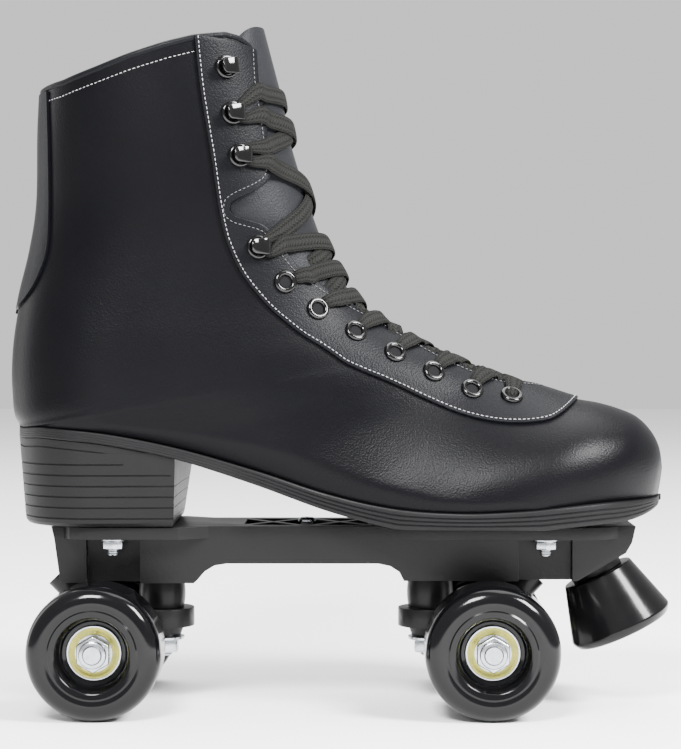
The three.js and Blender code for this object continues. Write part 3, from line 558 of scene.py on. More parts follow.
# Edges of the boot's leather in the side view: [x, z].
RIM = np.array([[-150, 176], [-123.4, 178.9], [-112.3, 180.9], [-97.8, 185.5], [-84.6, 190.2], [-70.5, 194.7],
                [-58.6, 197.9], [-46.4, 199.8], [-41, 198.8], [-37.5, 196.5], [-35, 193.6], [-20, 180]])
FACING_EDGE = [[-35, 194], [-33.8, 180], [-31.7, 168], [-29.2, 151.5], [-29.6, 140.6], [-42, 132.8],
               [-44.6, 129.6], [-42.6, 126], [-31.4, 122.4], [-26, 116.8], [-17.5, 105.5], [-7, 97.6],
               [2, 91.6], [15.5, 83.2],
               [29, 75.2], [43, 67.9], [56, 62.4], [67, 58.6]]
FACING_OUTER = [[-58.6, 198.3], [-56.6, 179], [-54.8, 167], [-52, 150], [-50.6, 140], [-49.6, 133],
                [-49, 129.5],
                [-48.4, 126], [-47.2, 120.5], [-45.6, 115], [-40, 103], [-30, 90.3], [-17, 79], [-2, 69.2],
                [15, 60.8], [33, 52.5], [50, 45.4], [66, 42.2], [80, 42.4], [89, 44.9]]
THROAT_END = [[11.9, 5.5], [12.25, 2.5], [12.35, 0]]       # [station, half gap] on towards the centre
FACING_END = [[14.05, 9], [14.12, 0]]
HOOKS = [[-46.5, 185.8], [-44, 167.4], [-41, 150.3], [-33.5, 113.3]]
EYELETS = [[-22.7, 99.3], [-9.6, 88.2], [5.9, 78.8], [22, 70.1], [37.8, 62.4], [53.6, 55], [70, 52.2]]


def angle_at(t, y):
    """Angle on the front of station t whose half width is y."""
    low, high = np.zeros_like(t), np.full_like(t, 1.9)
    for _ in range(40):
        middle = (low + high) / 2
        width = form(t, middle)[..., 1] - centre_line(form(t, middle)[..., 0])
        low, high = np.where(width < y, middle, low), np.where(width < y, high, middle)
    return low


def half_edge(side_view, end):
    """A leather edge from the collar to the centre line in front, as rows of [station, angle]."""
    x, z = np.array(side_view).T
    t, q = locate(x, z, 1)
    end = np.array(end)
    return np.vstack([np.stack([t, q], -1), np.stack([end[:, 0], angle_at(end[:, 0], end[:, 1])], -1)])


facing_edge = half_edge(FACING_EDGE, THROAT_END)
facing_outer = half_edge(FACING_OUTER, FACING_END)


def edge_angle(t):
    """Angle of the facing's edge at station t, 0 past the end of the throat."""
    return np.interp(t, facing_edge[:, 0], facing_edge[:, 1], right=0.0)


def rim_height(x):
    return np.interp(x, RIM[:, 0], RIM[:, 1]) + BOOT_Z


# ---- Boot ---------------------------------------------------------------------------------------
def upper_points(rows, columns):
    """The boot's skin as one bag: from the near facing edge round the back and sole to the far edge."""
    w = np.linspace(-1, 1, columns)
    share = np.clip((np.abs(w) - FLOOR_SHARE) / (1 - FLOOR_SHARE), 0, 1)
    side = np.where(w < 0, -1, 1)

    def angle(t):
        near = edge_angle(t)
        return side * (np.pi - share * (np.pi - near))

    low, high = np.full_like(w, -0.4), np.full_like(w, 2.5)
    for _ in range(40):
        t = (low + high) / 2
        spot = form(t, angle(t))
        above = spot[:, 2] > rim_height(spot[:, 0])
        low, high = np.where(above, t, low), np.where(above, high, t)
    u = np.linspace(0, 1, rows)[:, None]
    t = low + u * (LAST - low)
    points = form(t, angle(t))
    across = np.clip(w / FLOOR_SHARE, -1, 1)
    bottom = np.abs(w) < FLOOR_SHARE
    centre = centre_line(points[..., 0])
    points[..., 1] = np.where(bottom, centre + (points[..., 1] - centre) * np.abs(across), points[..., 1])
    return points


def boot_upper():
    piece = sheet(210, 131, upper_points(210, 131))
    merge(piece, 2e-5)
    face_outwards(piece, (-40, 0, 140))
    apply_modifier(piece, "SOLIDIFY", thickness=WALL * MM, offset=-1, use_even_offset=False)
    smooth(piece, 50)
    piece.data.materials.append(leather)
    settle(piece, "boot_shell", leather, replaces=["boot_upper"])


def leather_patch(edge, outer, along, across, lift):
    """A skin between two edges, each given as rows of [station, angle], mirrored to the other side."""
    def whole(rows):
        half = fine(rows, along)
        mirrored = half[::-1][1:] * np.array([1, -1])
        return np.vstack([half * np.array([1, 1]), mirrored])

    first, second = whole(edge), whole(outer)
    v = np.linspace(0, 1, across)[None, :, None]
    grid = first[:, None, :] * (1 - v) + second[:, None, :] * v
    return laid(grid[..., 0], -grid[..., 1], lift)


def eyestay():
    lift = np.full((2 * 130 - 1, 14), SKIN + 0.15)
    piece = sheet(2 * 130 - 1, 14, leather_patch(facing_edge, facing_outer, 130, 14, lift))
    face_outwards(piece, (-40, 0, 140))
    skin = skin_of(piece)
    apply_modifier(piece, "SOLIDIFY", thickness=(SKIN + 0.25) * MM, offset=-1)
    bevel(piece, 0.4, 2, 60)
    smooth(piece, 50)
    settle(piece, "facing", sheen_lit_trim_leather, replaces=["eyestay"])
    return skin


def tongue():
    """A padded strip under the facings: its middle stands proud, its edges run under the leather."""
    rows, columns = 120, 41
    w = np.linspace(-1, 1, columns)[None, :]
    top = 0.12 + 0.07 * (1 - w ** 2)
    t = top + (12.9 - top) * np.linspace(0, 1, rows)[:, None]
    reach = np.maximum(edge_angle(t), 0.05) + 0.16
    reach = np.where(t < 0.9, reach * (1 - 0.35 * np.clip(0.9 - t, 0, 1) ** 2), reach)
    q = w * reach
    tongue_drop = np.interp(t, [0, 0.8, 1.2, 20], [0.2, 0.4, 2.2, 2.4])
    bulge = (1 - np.abs(w) ** 2.5)
    lift = -(WALL + 0.9) + bulge * (WALL + 0.9 - tongue_drop)
    points = laid(t + 0 * w, q, lift)
    round_top = 5.0 * np.exp(-((t - 0.12) / 0.12) ** 2) * np.abs(w) ** 4
    points[..., 2] -= round_top
    piece = sheet(rows, columns, points)
    face_outwards(piece, (-40, 0, 140))
    skin = skin_of(piece)
    apply_modifier(piece, "SOLIDIFY", thickness=3.4 * MM, offset=-1)
    bevel(piece, 1.1, 4, 60)
    smooth(piece, 60)
    settle(piece, "tongue_pad", tongue_leather, replaces=["tongue"])
    return skin


BACK_SEAM = [[-119.4, 177.6], [-118.9, 160], [-118.7, 144.3], [-118.7, 125.7], [-119.6, 111.9],
             [-123.8, 100.6],
             [-129.5, 92.5], [-136.4, 86.5]]


def back_strip():
    x, z = fine(BACK_SEAM, 60).T
    t, q = locate(x, z, 1)
    w = np.linspace(-1, 1, 33)[None, :]
    angle = np.pi - (np.pi - q[:, None]) * np.abs(w)
    side = np.where(w < 0, -1, 1)
    points = laid(t[:, None] + 0 * w, side * np.minimum(angle, np.pi - 1e-4), np.full((60, 33), SKIN - 0.1))
    piece = sheet(60, 33, points)
    merge(piece, 2e-5)
    face_outwards(piece, (-40, 0, 140))
    apply_modifier(piece, "SOLIDIFY", thickness=(SKIN + 0.1) * MM, offset=-1)
    smooth(piece, 50)
    settle(piece, "back_strip", sheen_lit_trim_leather, replaces=["backstay"])


def swept(points, normals, section, closed=False):
    """A section of [across, up] points swept along a route (arrays, millimetres)."""
    ahead = np.roll(points, -1, 0) - np.roll(points, 1, 0)
    if not closed:
        ahead[0], ahead[-1] = points[1] - points[0], points[-1] - points[-2]
    ahead /= np.linalg.norm(ahead, axis=1, keepdims=True)
    across = np.cross(ahead, normals)
    across /= np.linalg.norm(across, axis=1, keepdims=True)
    up = np.cross(across, ahead)
    section = np.asarray(section, float)
    if section.ndim == 2:
        section = np.repeat(section[None], len(points), 0)
    return points[:, None] + across[:, None] * section[..., :1] + up[:, None] * section[..., 1:]


def ring_section(radius_x, radius_y, count=12):
    angle = np.linspace(0, 2 * np.pi, count)
    return np.stack([np.cos(angle) * radius_x, np.sin(angle) * radius_y], -1)


def close_ends(piece):
    activate(piece)
    bpy.ops.object.mode_set(mode="EDIT")
    bpy.ops.mesh.select_all(action="SELECT")
    bpy.ops.mesh.remove_doubles(threshold=5e-6)
    bpy.ops.mesh.select_all(action="DESELECT")
    bpy.ops.mesh.select_non_manifold()
    bpy.ops.mesh.fill_holes(sides=0)
    bpy.ops.mesh.select_all(action="SELECT")
    bpy.ops.mesh.normals_make_consistent(inside=False)
    bpy.ops.object.mode_set(mode="OBJECT")


def collar_rows(drop, lift, count=240):
    """Route round the collar, drop below the rim, from the near facing round the back to the far one."""
    points = upper_points(2, count)[0]
    rim = np.stack([points[:, 0], points[:, 2] - BOOT_Z - drop], -1)
    side = np.where(np.arange(count) < count / 2, -1, 1)
    found = rim[:, 0] > COLLAR_BACK_X
    t, _ = locate(rim[:, 0], rim[:, 1], 1)
    index = np.arange(count)
    t = np.interp(index, index[found], t[found])
    w = np.linspace(-1, 1, count)
    share = np.clip((np.abs(w) - FLOOR_SHARE) / (1 - FLOOR_SHARE), 0, 1)
    q = np.pi - share * (np.pi - edge_angle(t))
    q = np.minimum(q, np.pi - 1e-3)
    middle = np.abs(w) > FLOOR_SHARE
    t, q, side = t[middle], q[middle], side[middle]
    return laid(t, side * q, np.full(len(t), lift)), form_normal(t, side * q)


def collar_binding():
    points, normals = collar_rows(0.6, -1.2)
    piece = sheet(len(points), 14, swept(points, normals, ring_section(1.5, 1.9, 14)))
    close_ends(piece)
    smooth(piece, 60)
    settle(piece, "collar_binding", sheen_lit_trim_leather)


# ---- Stitching ----------------------------------------------------------------------------------
def stitches(name, routes, thread, pitch=1.9, length=1.35, radius=0.17):
    """Short threads laid end to end along routes of (points, normals)."""
    deselect()
    bpy.ops.mesh.primitive_uv_sphere_add(segments=6, ring_count=4, radius=1)
    bead = bpy.context.object
    size = np.array([length / 2, radius, radius])
    shape = np.array([v.co for v in bead.data.vertices])[:, [2, 0, 1]] * size
    faces = [list(p.vertices) for p in bead.data.polygons]
    bpy.data.objects.remove(bead)
    corners, polygons = [], []
    for points, normals in routes:
        run = np.concatenate([[0], np.cumsum(np.linalg.norm(np.diff(points, axis=0), axis=1))])
        marks = np.arange(pitch / 2, run[-1], pitch)
        spots = np.stack([np.interp(marks, run, points[:, k]) for k in range(3)], -1)
        ahead = np.stack([np.interp(marks + 0.4, run, points[:, k]) for k in range(3)], -1)
        ups = np.stack([np.interp(marks, run, normals[:, k]) for k in range(3)], -1)
        along = ahead - spots
        along /= np.maximum(np.linalg.norm(along, axis=1, keepdims=True), 1e-9)
        across = np.cross(ups, along)
        across /= np.maximum(np.linalg.norm(across, axis=1, keepdims=True), 1e-9)
        up = np.cross(along, across)
        for spot, a, b, c in zip(spots, along, across, up):
            start = len(corners) * len(shape)
            corners.append(spot + shape[:, :1] * a + shape[:, 1:2] * b + shape[:, 2:] * c)
            polygons.extend([[start + k for k in face] for face in faces])
    mesh = bpy.data.meshes.new(name)
    mesh.from_pydata((np.vstack(corners) * MM).tolist(), [], polygons)
    piece = bpy.data.objects.new(name, mesh)
    bpy.context.scene.collection.objects.link(piece)
    smooth(piece, 80)
    settle(piece, name, thread)


def edge_route(rows, inset, lift, count=500):
    """Both sides of a leather edge, moved inset along the skin towards the throat."""
    half = fine(rows, count)
    routes = []
    for side in (-1, 1):
        t, q = half[:, 0], side * half[:, 1]
        spot, normal = laid(t, q, np.full(len(t), lift)), form_normal(t, q)
        ahead = np.gradient(spot, axis=0)
        away = np.cross(ahead, normal) * side
        away /= np.maximum(np.linalg.norm(away, axis=1, keepdims=True), 1e-9)
        routes.append((spot + away * inset, normal))
    return routes


# ---- Eyelets and hooks --------------------------------------------------------------------------
def seat(x, z, side, lift):
    """Place and axes (towards the throat, along, outwards) of a fitting on the facing."""
    t, q = locate(np.array([x]), np.array([z]), side)
    origin = laid(t, q, np.array([lift]))[0]
    out = form_normal(t, q)[0]
    towards = form(t, q * 0.97)[0] - form(t, q)[0]
    towards -= out * np.dot(towards, out)
    towards /= np.linalg.norm(towards)
    along = np.cross(out, towards)
    turn = Matrix(np.stack([towards, along, out], -1).tolist()).to_4x4()
    return Matrix.Translation(Vector(origin) * MM) @ turn


def eyelet():
    outer, bore = 4.7, 2.5
    profile = [(bore, -0.1), (bore, 0.3), *arc((outer + bore) / 2, 0.25, (outer - bore) / 2, 180, 0, 8),
               (outer, 0), (outer - 0.2, -0.1), (bore, -0.1)]
    rim = turned(profile, (0, 0, 0), steps=32)
    rim.data.materials.append(enamel)
    disc = [(0, 0.02), (bore + 0.3, 0.02), (bore + 0.3, -0.1), (0, -0.1), (0, 0.02)]
    mouth = turned(disc, (0, 0, 0), steps=32)
    mouth.data.materials.append(lining)
    return join([rim, mouth])


def lace_hook():
    """A riveted ring with a broad tab that rises on the throat side and folds back over it."""
    base = turned([(0, 0), (1.8, 0.1), (2.6, 0.3), *arc(3.9, 0.35, 0.95, 150, 0, 6), (4.8, 0.0), (4.6, -0.3),
                   (0, -0.3)],
                  (0, 0, 0), steps=36)
    side_view = np.array([[3.4, 0.1], [4.0, 1.2], [4.1, 2.6], [3.2, 3.9], [1.5, 4.4], [-0.8, 4.5],
                          [-2.8, 4.8], [-4.2, 5.5]])
    route = fine(side_view, 22)
    half = np.interp(np.linspace(0, 1, 22), [0, 0.25, 0.5, 0.85, 1], [2.6, 2.7, 3.3, 2.9, 1.5])
    w = np.linspace(-1, 1, 9)[None, :]
    crown = 0.5 * (1 - w ** 2) * np.linspace(0, 1, 22)[:, None]
    points = np.stack([route[:, :1] + 0 * w, half[:, None] * w, route[:, 1:] + crown], -1)
    tab = sheet(22, 9, points)
    apply_modifier(tab, "SOLIDIFY", thickness=0.9 * MM, offset=0)
    bevel(tab, 0.3, 2, 50)
    apply_modifier(tab, "SUBSURF", levels=1, render_levels=1)
    smooth(tab, 60)
    return join([base, tab])


def copies(master, places, names, material, replaced=None):
    for index, (matrix, name) in enumerate(zip(places, names)):
        piece = master.copy()
        piece.data = master.data.copy()
        piece.data.transform(matrix)
        bpy.context.scene.collection.objects.link(piece)
        settle(piece, name, material, replaces=[replaced[index]] if replaced else ())
    bpy.data.objects.remove(master)


def fittings():
    lift = SKIN + 0.25
    spots = [(word, side, i, spot) for word, side in SIDES.items() for i, spot in enumerate(EYELETS, 1)]
    copies(eyelet(), [seat(*spot, side, lift) for _, side, _, spot in spots],
           [f"eyelet_{word}_{i}" for word, _, i, _ in spots], enamel)
    spots = [(word, side, i, spot) for word, side in SIDES.items() for i, spot in enumerate(HOOKS, 1)]
    copies(lace_hook(), [seat(*spot, side, lift + 0.3) for _, side, _, spot in spots],
           [f"hook_{word}_{i}" for word, _, i, _ in spots], enamel,
           [f"lace_hook_{word}_{i}" for word, _, i, _ in spots])


# ---- Lace ---------------------------------------------------------------------------------------
LACE_WIDTH = 7.4
LACE_THICKNESS = 1.3


def skin_of(piece):
    """The corners and faces of an open sheet."""
    return [v.co.copy() for v in piece.data.vertices], [list(p.vertices) for p in piece.data.polygons]


def lace_bed(*skins):
    """What the lace lies on: the outer skins of the facings and the tongue, as one ray-cast tree."""
    corners, faces = [], []
    for points, polygons in skins:
        start = len(corners)
        corners.extend(points)
        faces.extend([[start + k for k in polygon] for polygon in polygons])
    return BVHTree.FromPolygons(corners, faces)


def on_bed(bed, point, ray):
    """Height of the bed over a point, along a ray, with its normal."""
    origin = Vector((point + ray * 40) * MM)
    hit, normal, _, _ = bed.ray_cast(origin, Vector(-ray))
    if hit is None:
        return point, ray
    normal = np.array(normal)
    if np.dot(normal, ray) < 0:
        normal = -normal
    return np.array(hit) / MM, normal


def strand(bed, start, end, ray, samples=26):
    """Points over the bed on the way from one fitting to another, with the bed's normals."""
    points, normals = [], []
    for share in np.linspace(0, 1, samples):
        flat = start + (end - start) * share
        hit, normal = on_bed(bed, flat, ray)
        points.append(hit + normal * (LACE_THICKNESS / 2 + 0.15))
        normals.append(normal)
    return np.array(points), np.array(normals)


def ease(values, passes):
    for _ in range(passes):
        inner = (values[:-2] + 2 * values[1:-1] + values[2:]) / 4
        values = np.vstack([values[:1], inner, values[-1:]])
    return values


def press_out(bed, points, clearance):
    """Moves points that sank into the bed back out to a clearance above it."""
    moved = points.copy()
    for k, point in enumerate(points):
        spot, normal, _, _ = bed.find_nearest(Vector(point) * MM)
        height = (Vector(point) * MM - spot).dot(normal) / MM
        if -6 < height < clearance:
            moved[k] = np.array(spot) / MM + np.array(normal) * clearance
    return moved


def lace_curve(points, normals, widths, step=0.9):
    """Evenly spaced points, normals and widths along the route, and its length."""
    points, normals, widths = np.array(points), np.array(normals), np.array(widths)
    run = np.concatenate([[0], np.cumsum(np.linalg.norm(np.diff(points, axis=0), axis=1))])
    count = int(run[-1] / step)
    marks = np.linspace(0, run[-1], count)
    index = np.interp(marks, run, np.arange(len(points)))
    spots, ups = along_rows(points, index), along_rows(normals, index)
    ups /= np.linalg.norm(ups, axis=1, keepdims=True)
    return ease(spots, 2), ease(ups, 4), along_rows(widths, index), run[-1]


def lace_section(widths):
    """Flat with rounded edges; narrower stretches are bunched thicker."""
    count = 20
    angle = np.linspace(0, 2 * np.pi, count)
    flat_x = np.sign(np.cos(angle)) * np.abs(np.cos(angle)) ** 0.75
    flat_y = np.sign(np.sin(angle)) * np.abs(np.sin(angle)) ** 0.75
    thick = 1 + (1 - widths) * 0.9
    return np.stack([flat_x[None] * (widths * LACE_WIDTH / 2)[:, None],
                     flat_y[None] * (thick * LACE_THICKNESS / 2)[:, None]], -1)


def lace(facing, pad):
    bed = lace_bed(facing, pad)
    lengths = 0.0
    made = []
    for first_side in (-1, 1):
        points, normals, widths = lace_half(bed, first_side)
        spots, ups, wide, length = lace_curve(points, normals, widths)
        lengths += length
        piece = sheet(len(spots), 20, swept(spots, ups, lace_section(wide)))
        close_ends(piece)
        made.append(piece)
    piece = join(made)
    smooth(piece, 70)
    braid = braid_finish("braid", (0.0065, 0.0065, 0.006), lengths / 2 * MM, 620, 10)
    settle(piece, "boot_lace", braid, replaces=["lace"])
    print("lace length mm", round(lengths))


def fitting(kind, x, z):
    """A hook or eyelet that shows at x, z: its places on both sides and the directions they face."""
    t, q = locate(np.array([x]), np.array([z]), 1)
    return {"kind": kind, "t": t[0], "q": q[0],
            "place": {side: form(t, side * q)[0] for side in (RIGHT, LEFT)},
            "out": {side: form_normal(t, side * q)[0] for side in (RIGHT, LEFT)}}


def crossing(bed, a, side, b, on_top):
    """Stations [point, normal, width] of a strand from fitting a over the throat to b on the other side."""
    ray = (a["out"][RIGHT] + a["out"][LEFT] + b["out"][RIGHT] + b["out"][LEFT]) / 4
    ray[1] = 0
    ray /= np.linalg.norm(ray)
    spots, ups = strand(bed, a["place"][side], b["place"][-side], ray)
    share = np.linspace(0, 1, len(spots))
    for _ in range(4):
        spots = press_out(bed, ease(spots, 2), LACE_THICKNESS / 2 + 0.45)
    ups = ease(ups, 6)
    ups /= np.linalg.norm(ups, axis=1, keepdims=True)
    to_hook, from_hook = b["kind"] == "hook", a["kind"] == "hook"
    lift = (LACE_THICKNESS * 1.2 if on_top else 0.0) * np.exp(-((share - 0.5) / 0.22) ** 2)
    dive = 0 * share if to_hook else -5.0 * np.clip((share - 0.74) / 0.12, 0, 1) ** 1.5
    emerge = 0 * share if from_hook else -4.5 * np.clip((0.05 - share) / 0.05, 0, 1)
    height = lift + dive + emerge
    made = []
    for k in range(len(spots)):
        if from_hook and share[k] < 0.1 or to_hook and share[k] > 0.9:
            continue
        width = 0.6 + 0.4 * min(1, min(share[k], 1 - share[k]) / 0.15)
        made.append((spots[k] + ups[k] * height[k], ups[k], width))
    return made


def turn_round(item, side):
    """Stations where the lace goes down an eyelet or round the neck of a hook."""
    place, out = item["place"][side], item["out"][side]
    if item["kind"] == "eyelet":
        return [(place - out * 4.5, out, 0.6)]
    spot = place + out * (SKIN + 1.7)
    towards = form(np.array([item["t"]]), np.array([side * item["q"] * 0.9]))[0] - place
    towards /= np.linalg.norm(towards)
    down = form(np.array([item["t"] + 0.2]), np.array([side * item["q"]]))[0] - place
    down /= np.linalg.norm(down)
    return [(spot + towards * (3.4 - 1.6 * (1 - abs(step))) + down * 2.8 * step, out, 0.5)
            for step in (-1, 0, 1)]


def top_bar(bed, top):
    """The strand that crosses above the second hooks."""
    x, z = HOOKS[1]
    bar = fitting("hook", x + 0.5, z + 8.5)
    ends = {LEFT: top["place"][LEFT], RIGHT: bar["place"][RIGHT]}
    run = {"kind": "hook", "place": ends, "out": bar["out"]}
    return crossing(bed, run, LEFT, run, False)


def toe_bar(bed, item, side):
    """The strand between the two eyelets nearest the toe, out of one and down the other."""
    place, out = item["place"], item["out"]
    return [(place[side] + out[side] * 1.2, out[side], 0.6),
            *crossing(bed, dict(item, kind="hook"), side, dict(item, kind="hook"), False),
            (place[-side] + out[-side] * 1.2, out[-side], 0.6),
            (place[-side] - out[-side] * 4.5, out[-side], 0.6)]


def lace_half(bed, first_side):
    """One of the two zigzags: it starts at a second hook and ends in the toe-most eyelet."""
    fit = [fitting("hook", *spot) for spot in HOOKS[1:]] + [fitting("eyelet", *spot) for spot in EYELETS]
    on_top = first_side == RIGHT
    side = first_side
    route = top_bar(bed, fit[0]) if first_side == RIGHT else []
    route += turn_round(fit[0], side)
    for a, b in zip(fit[:-1], fit[1:]):
        route += crossing(bed, a, side, b, on_top)
        side = -side
        route += turn_round(b, side)
        on_top = not on_top
    if first_side == RIGHT:
        route += toe_bar(bed, fit[-1], side)
    return zip(*route)


# ---- Sole and heel ------------------------------------------------------------------------------
def sole_line():
    t = np.linspace(HEEL_STATION, LAST, 400)
    rows = along_rows(STATIONS, t)
    return rows[:, 0], rows[:, 1]


def sole_top(x):
    line_x, line_z = sole_line()
    return np.interp(x, line_x, line_z)


def sole_foot(x):
    """Underside of the sole at x: a thin shank at the heel, flat on the plate, turned up at the toe."""
    thick = np.interp(x, [-134, -66, -30, 5, 30], [4.2, 4.8, 6.2, 7.4, 8.6])
    spring = 6.0 * np.clip((x - 108) / 26, 0, 1) ** 2
    return np.maximum(sole_top(x) - thick, 0.0) + spring


def outsole():
    """Cross sections along x: straight walls with fine grooves at the forefoot and a proud welt."""
    share = np.linspace(0, 1, 150)
    x = HEEL_BACK + 0.02 + (134.4 - HEEL_BACK - 0.02) * (0.5 - 0.5 * np.cos(np.pi * share))
    half = plan_half(np.minimum(x, TOE_TIP - 0.02)) + 1.6
    tip = round_off((134.5 - x) / 3.2)
    tail = round_off((x - HEEL_BACK) / 2.2)
    half = np.maximum(half * np.minimum(tip, 1) * tail, 0.05)
    grooves = [0.30, 0.52, 0.74]
    wall = [0.0, 0.04, 0.12]
    for g in grooves:
        wall += [g - 0.045, g - 0.012, g + 0.012, g + 0.045]
    wall += [0.9, 0.97, 1.0]
    wall = np.array(wall)
    depth = np.zeros_like(wall)
    for g in grooves:
        depth = np.where(np.abs(wall - g) < 0.02, 0.45, depth)
    depth[0], depth[-1] = 1.0, 0.9
    depth[1], depth[-2] = 0.25, 0.25
    fade = np.clip((x + 60) / 60, 0.25, 1)[:, None]
    top, foot = sole_top(x)[:, None] - 0.1, sole_foot(x)[:, None]
    z = top - (top - foot) * wall[None]
    y = half[:, None] - depth[None] * np.where((wall > 0.05) & (wall < 0.95), fade, 1)
    y = np.maximum(y, 0.02)
    centre = centre_line(x)[:, None]
    near = np.stack([x[:, None] + 0 * y, centre - y, z + BOOT_Z], -1)
    far = np.stack([x[:, None] + 0 * y, centre + y, z + BOOT_Z], -1)[:, ::-1]
    loop = np.concatenate([near, far, near[:, :1]], 1)
    piece = sheet(loop.shape[0], loop.shape[1], loop)
    close_ends(piece)
    smooth(piece, 25)
    settle(piece, "sole", sole_finish, replaces=["outsole"])


def heel_block():
    """A stack of lifts: rings of the heel's outline, drawn in a little at each joint."""
    lifts = [3.5 + 4.4 * k for k in range(7)]
    levels = [(0.0, 2.2), (0.5, 1.0), (1.6, 0.2)]
    for lift in lifts:
        levels += [(lift - 0.32, 0.0), (lift - 0.1, 0.45), (lift + 0.1, 0.45), (lift + 0.32, 0.0)]
    breast_foot, breast_top = -67.6, -66.6
    edge_x = HEEL_BACK + (breast_top - HEEL_BACK) * (0.5 - 0.5 * np.cos(np.pi * np.linspace(0, 1, 60)))
    outline = np.concatenate([np.stack([edge_x[::-1], -plan_half(edge_x[::-1]) - 1.0], -1),
                              np.stack([edge_x, plan_half(edge_x) + 1.0], -1)])
    breast = np.stack([np.full(15, breast_top), np.linspace(outline[-1, 1], outline[0, 1], 15)], -1)[1:]
    outline = np.concatenate([outline, breast])
    middle = np.array([-98.0, 0.0])
    top = sole_foot(outline[:, 0])
    slanted = [7.0, 3.4]
    rings = []

    def ring(z, draw):
        fall = 1 - np.clip(z / 40, 0, 1)
        away = outline - middle
        reach = np.linalg.norm(away, axis=1)
        taper = 3.0 * fall
        scale = (reach - draw - taper)[:, None] / reach[:, None]
        spot = middle + away * scale
        front = np.arange(len(outline)) >= len(outline) - 15
        bow = 4.4 * np.clip((outline[:, 1] + 31) / 62, 0, 1) ** 2 * np.clip(z / 36, 0, 1)
        on_breast = front | (outline[:, 0] > breast_top - 1e-6)
        breast_x = breast_foot + (breast_top - breast_foot) * z / 36 + bow - draw * 0.3
        x = np.where(on_breast, breast_x, spot[:, 0])
        return np.stack([x, spot[:, 1], z + BOOT_Z + 0 * x], -1)

    for level, draw in levels:
        z = np.minimum(level, top - 0.02 * (60 - level) / 60)
        under = level > top - slanted[0]
        rings.append(ring(z, np.where(under, 0.0, draw)))
    for rise in slanted:
        for shift, draw in ((-0.3, 0.0), (-0.1, 0.4), (0.1, 0.4), (0.3, 0.0)):
            z = np.maximum(top - rise + 3.4 + shift, rings[-1][:, 2] - BOOT_Z + 0.01)
            rings.append(ring(np.minimum(z, top), draw + 0 * z))
    rings.append(ring(top + 0.0, 0.0 * top))
    loop = np.array(rings)
    loop = np.concatenate([loop, loop[:, :1]], 1)
    piece = sheet(loop.shape[0], loop.shape[1], loop)
    close_ends(piece)
    smooth(piece, 25)
    settle(piece, "heel_stack", sole_finish, replaces=["heel_block"])


# ---- Running gear -------------------------------------------------------------------------------
def middle_of(node):
    low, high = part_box(node)
    return [(a + b) / 2 / MM for a, b in zip(low, high)]


def wheels():
    for truck in TRUCKS:
        for word, side in SIDES.items():
            body = f"{truck}_{word}_wheel"
            x, y, z = middle_of(f"wheel_{truck}_{word}")
            axis = (0, side, 0)
            profile = [(11.3, 7.5), (12.6, 7.9), (13.2, 8.6), (14.6, 14.6), *arc(15.9, 14.8, 1.1, 170, 95, 4),
                       (17.4, 16.1), (18.0, 15.7), (18.6, 15.7), (19.2, 16.0),
                       *arc(20.8, 9.8, 6.2, 90, 4, 10), (27.0, 8.4), (27.0, -8.4),
                       *arc(20.8, -9.8, 6.2, -4, -90, 10), (15.0, -16.0), (14.0, -15.6), (12.6, -12.4),
                       (11.3, -12.2), (11.3, -4.7), (9, -4.7), (9, 0.7),
                       (11.3, 0.7), (11.3, 7.5)]
            piece = turned(profile, (x, y, z), axis, 96)
            settle(piece, f"tyre_{truck}_{word}", urethane, body, [f"wheel_{truck}_{word}"])
            for place in ("outer", "inner"):
                bearing(truck, word, side, place, body)
            axle_nut(truck, word, side)


def bearing(truck, word, side, place, body):
    """Outer race, stamped shield with a rolled rim, and inner race."""
    node = f"bearing_{place}_{truck}_{word}"
    x, y, z = middle_of(node)
    facing = side if place == "outer" else -side
    axis = (0, facing, 0)
    races = turned([(10.25, 2.9), (10.25, 3.4), *arc(10.7, 3.2, 0.3, 90, 0, 3), (11, -3.2), (10.7, -3.5),
                    (10.25, -3.5), (10.25, 2.9)], (x, y, z), axis, 72)
    inner = turned([(4.35, -3.4), (4.35, 3.2), (4.6, 3.5), (6.1, 3.5), (6.3, 3.3), (6.3, -3.4), (4.35, -3.4)],
                   (x, y, z), axis, 60)
    shield = turned([(6.6, 2.2), (6.6, 2.9), (7.0, 3.1), (8.2, 2.9), (9.0, 3.15), (10.2, 3.15), (10.2, 2.2),
                     (6.6, 2.2)],
                    (x, y, z), axis, 72)
    settle(shield, f"shield_{place}_{truck}_{word}", zinc, body)
    rings = join([races, inner])
    settle(rings, f"races_{place}_{truck}_{word}", steel, body, [node])


def axle_nut(truck, word, side):
    node = f"axle_nut_{truck}_{word}"
    x, y, z = middle_of(node)
    start = y - side * 3.25
    nut = hexagon(13, 4.6, (x, start, z), (0, side, 0), 0.7)
    collar = turned([(0, 4.4), (5.6, 4.4), (5.6, 5.4), (5.2, 6.2), (4.6, 6.5), (0, 6.5)], (x, start, z),
                    (0, side, 0), 48)
    washer = turned([(4.3, 0), (7.4, 0), (7.4, 0.5), (4.3, 0.5), (4.3, 0)], (x, start - side * 0.2, z),
                    (0, side, 0), 48)
    settle(join([nut, collar, washer]), f"lock_nut_{truck}_{word}", steel, f"{truck}_truck", [node])


def thread_rod(x, y, z, axis, radius, low, high, pitch=1.25):
    """A rod whose surface is cut by thread rings, from low to high along its axis."""
    profile = [(0, low), (radius - 0.5, low), (radius, low + 0.5)]
    mark = low + 0.5
    while mark < high - 1.0:
        profile += [(radius, mark + 0.1), (radius - 0.35, mark + pitch / 2), (radius, mark + pitch - 0.1)]
        mark += pitch
    profile += [(radius - 0.5, high), (0, high)]
    return turned(profile, (x, y, z), axis, 32)


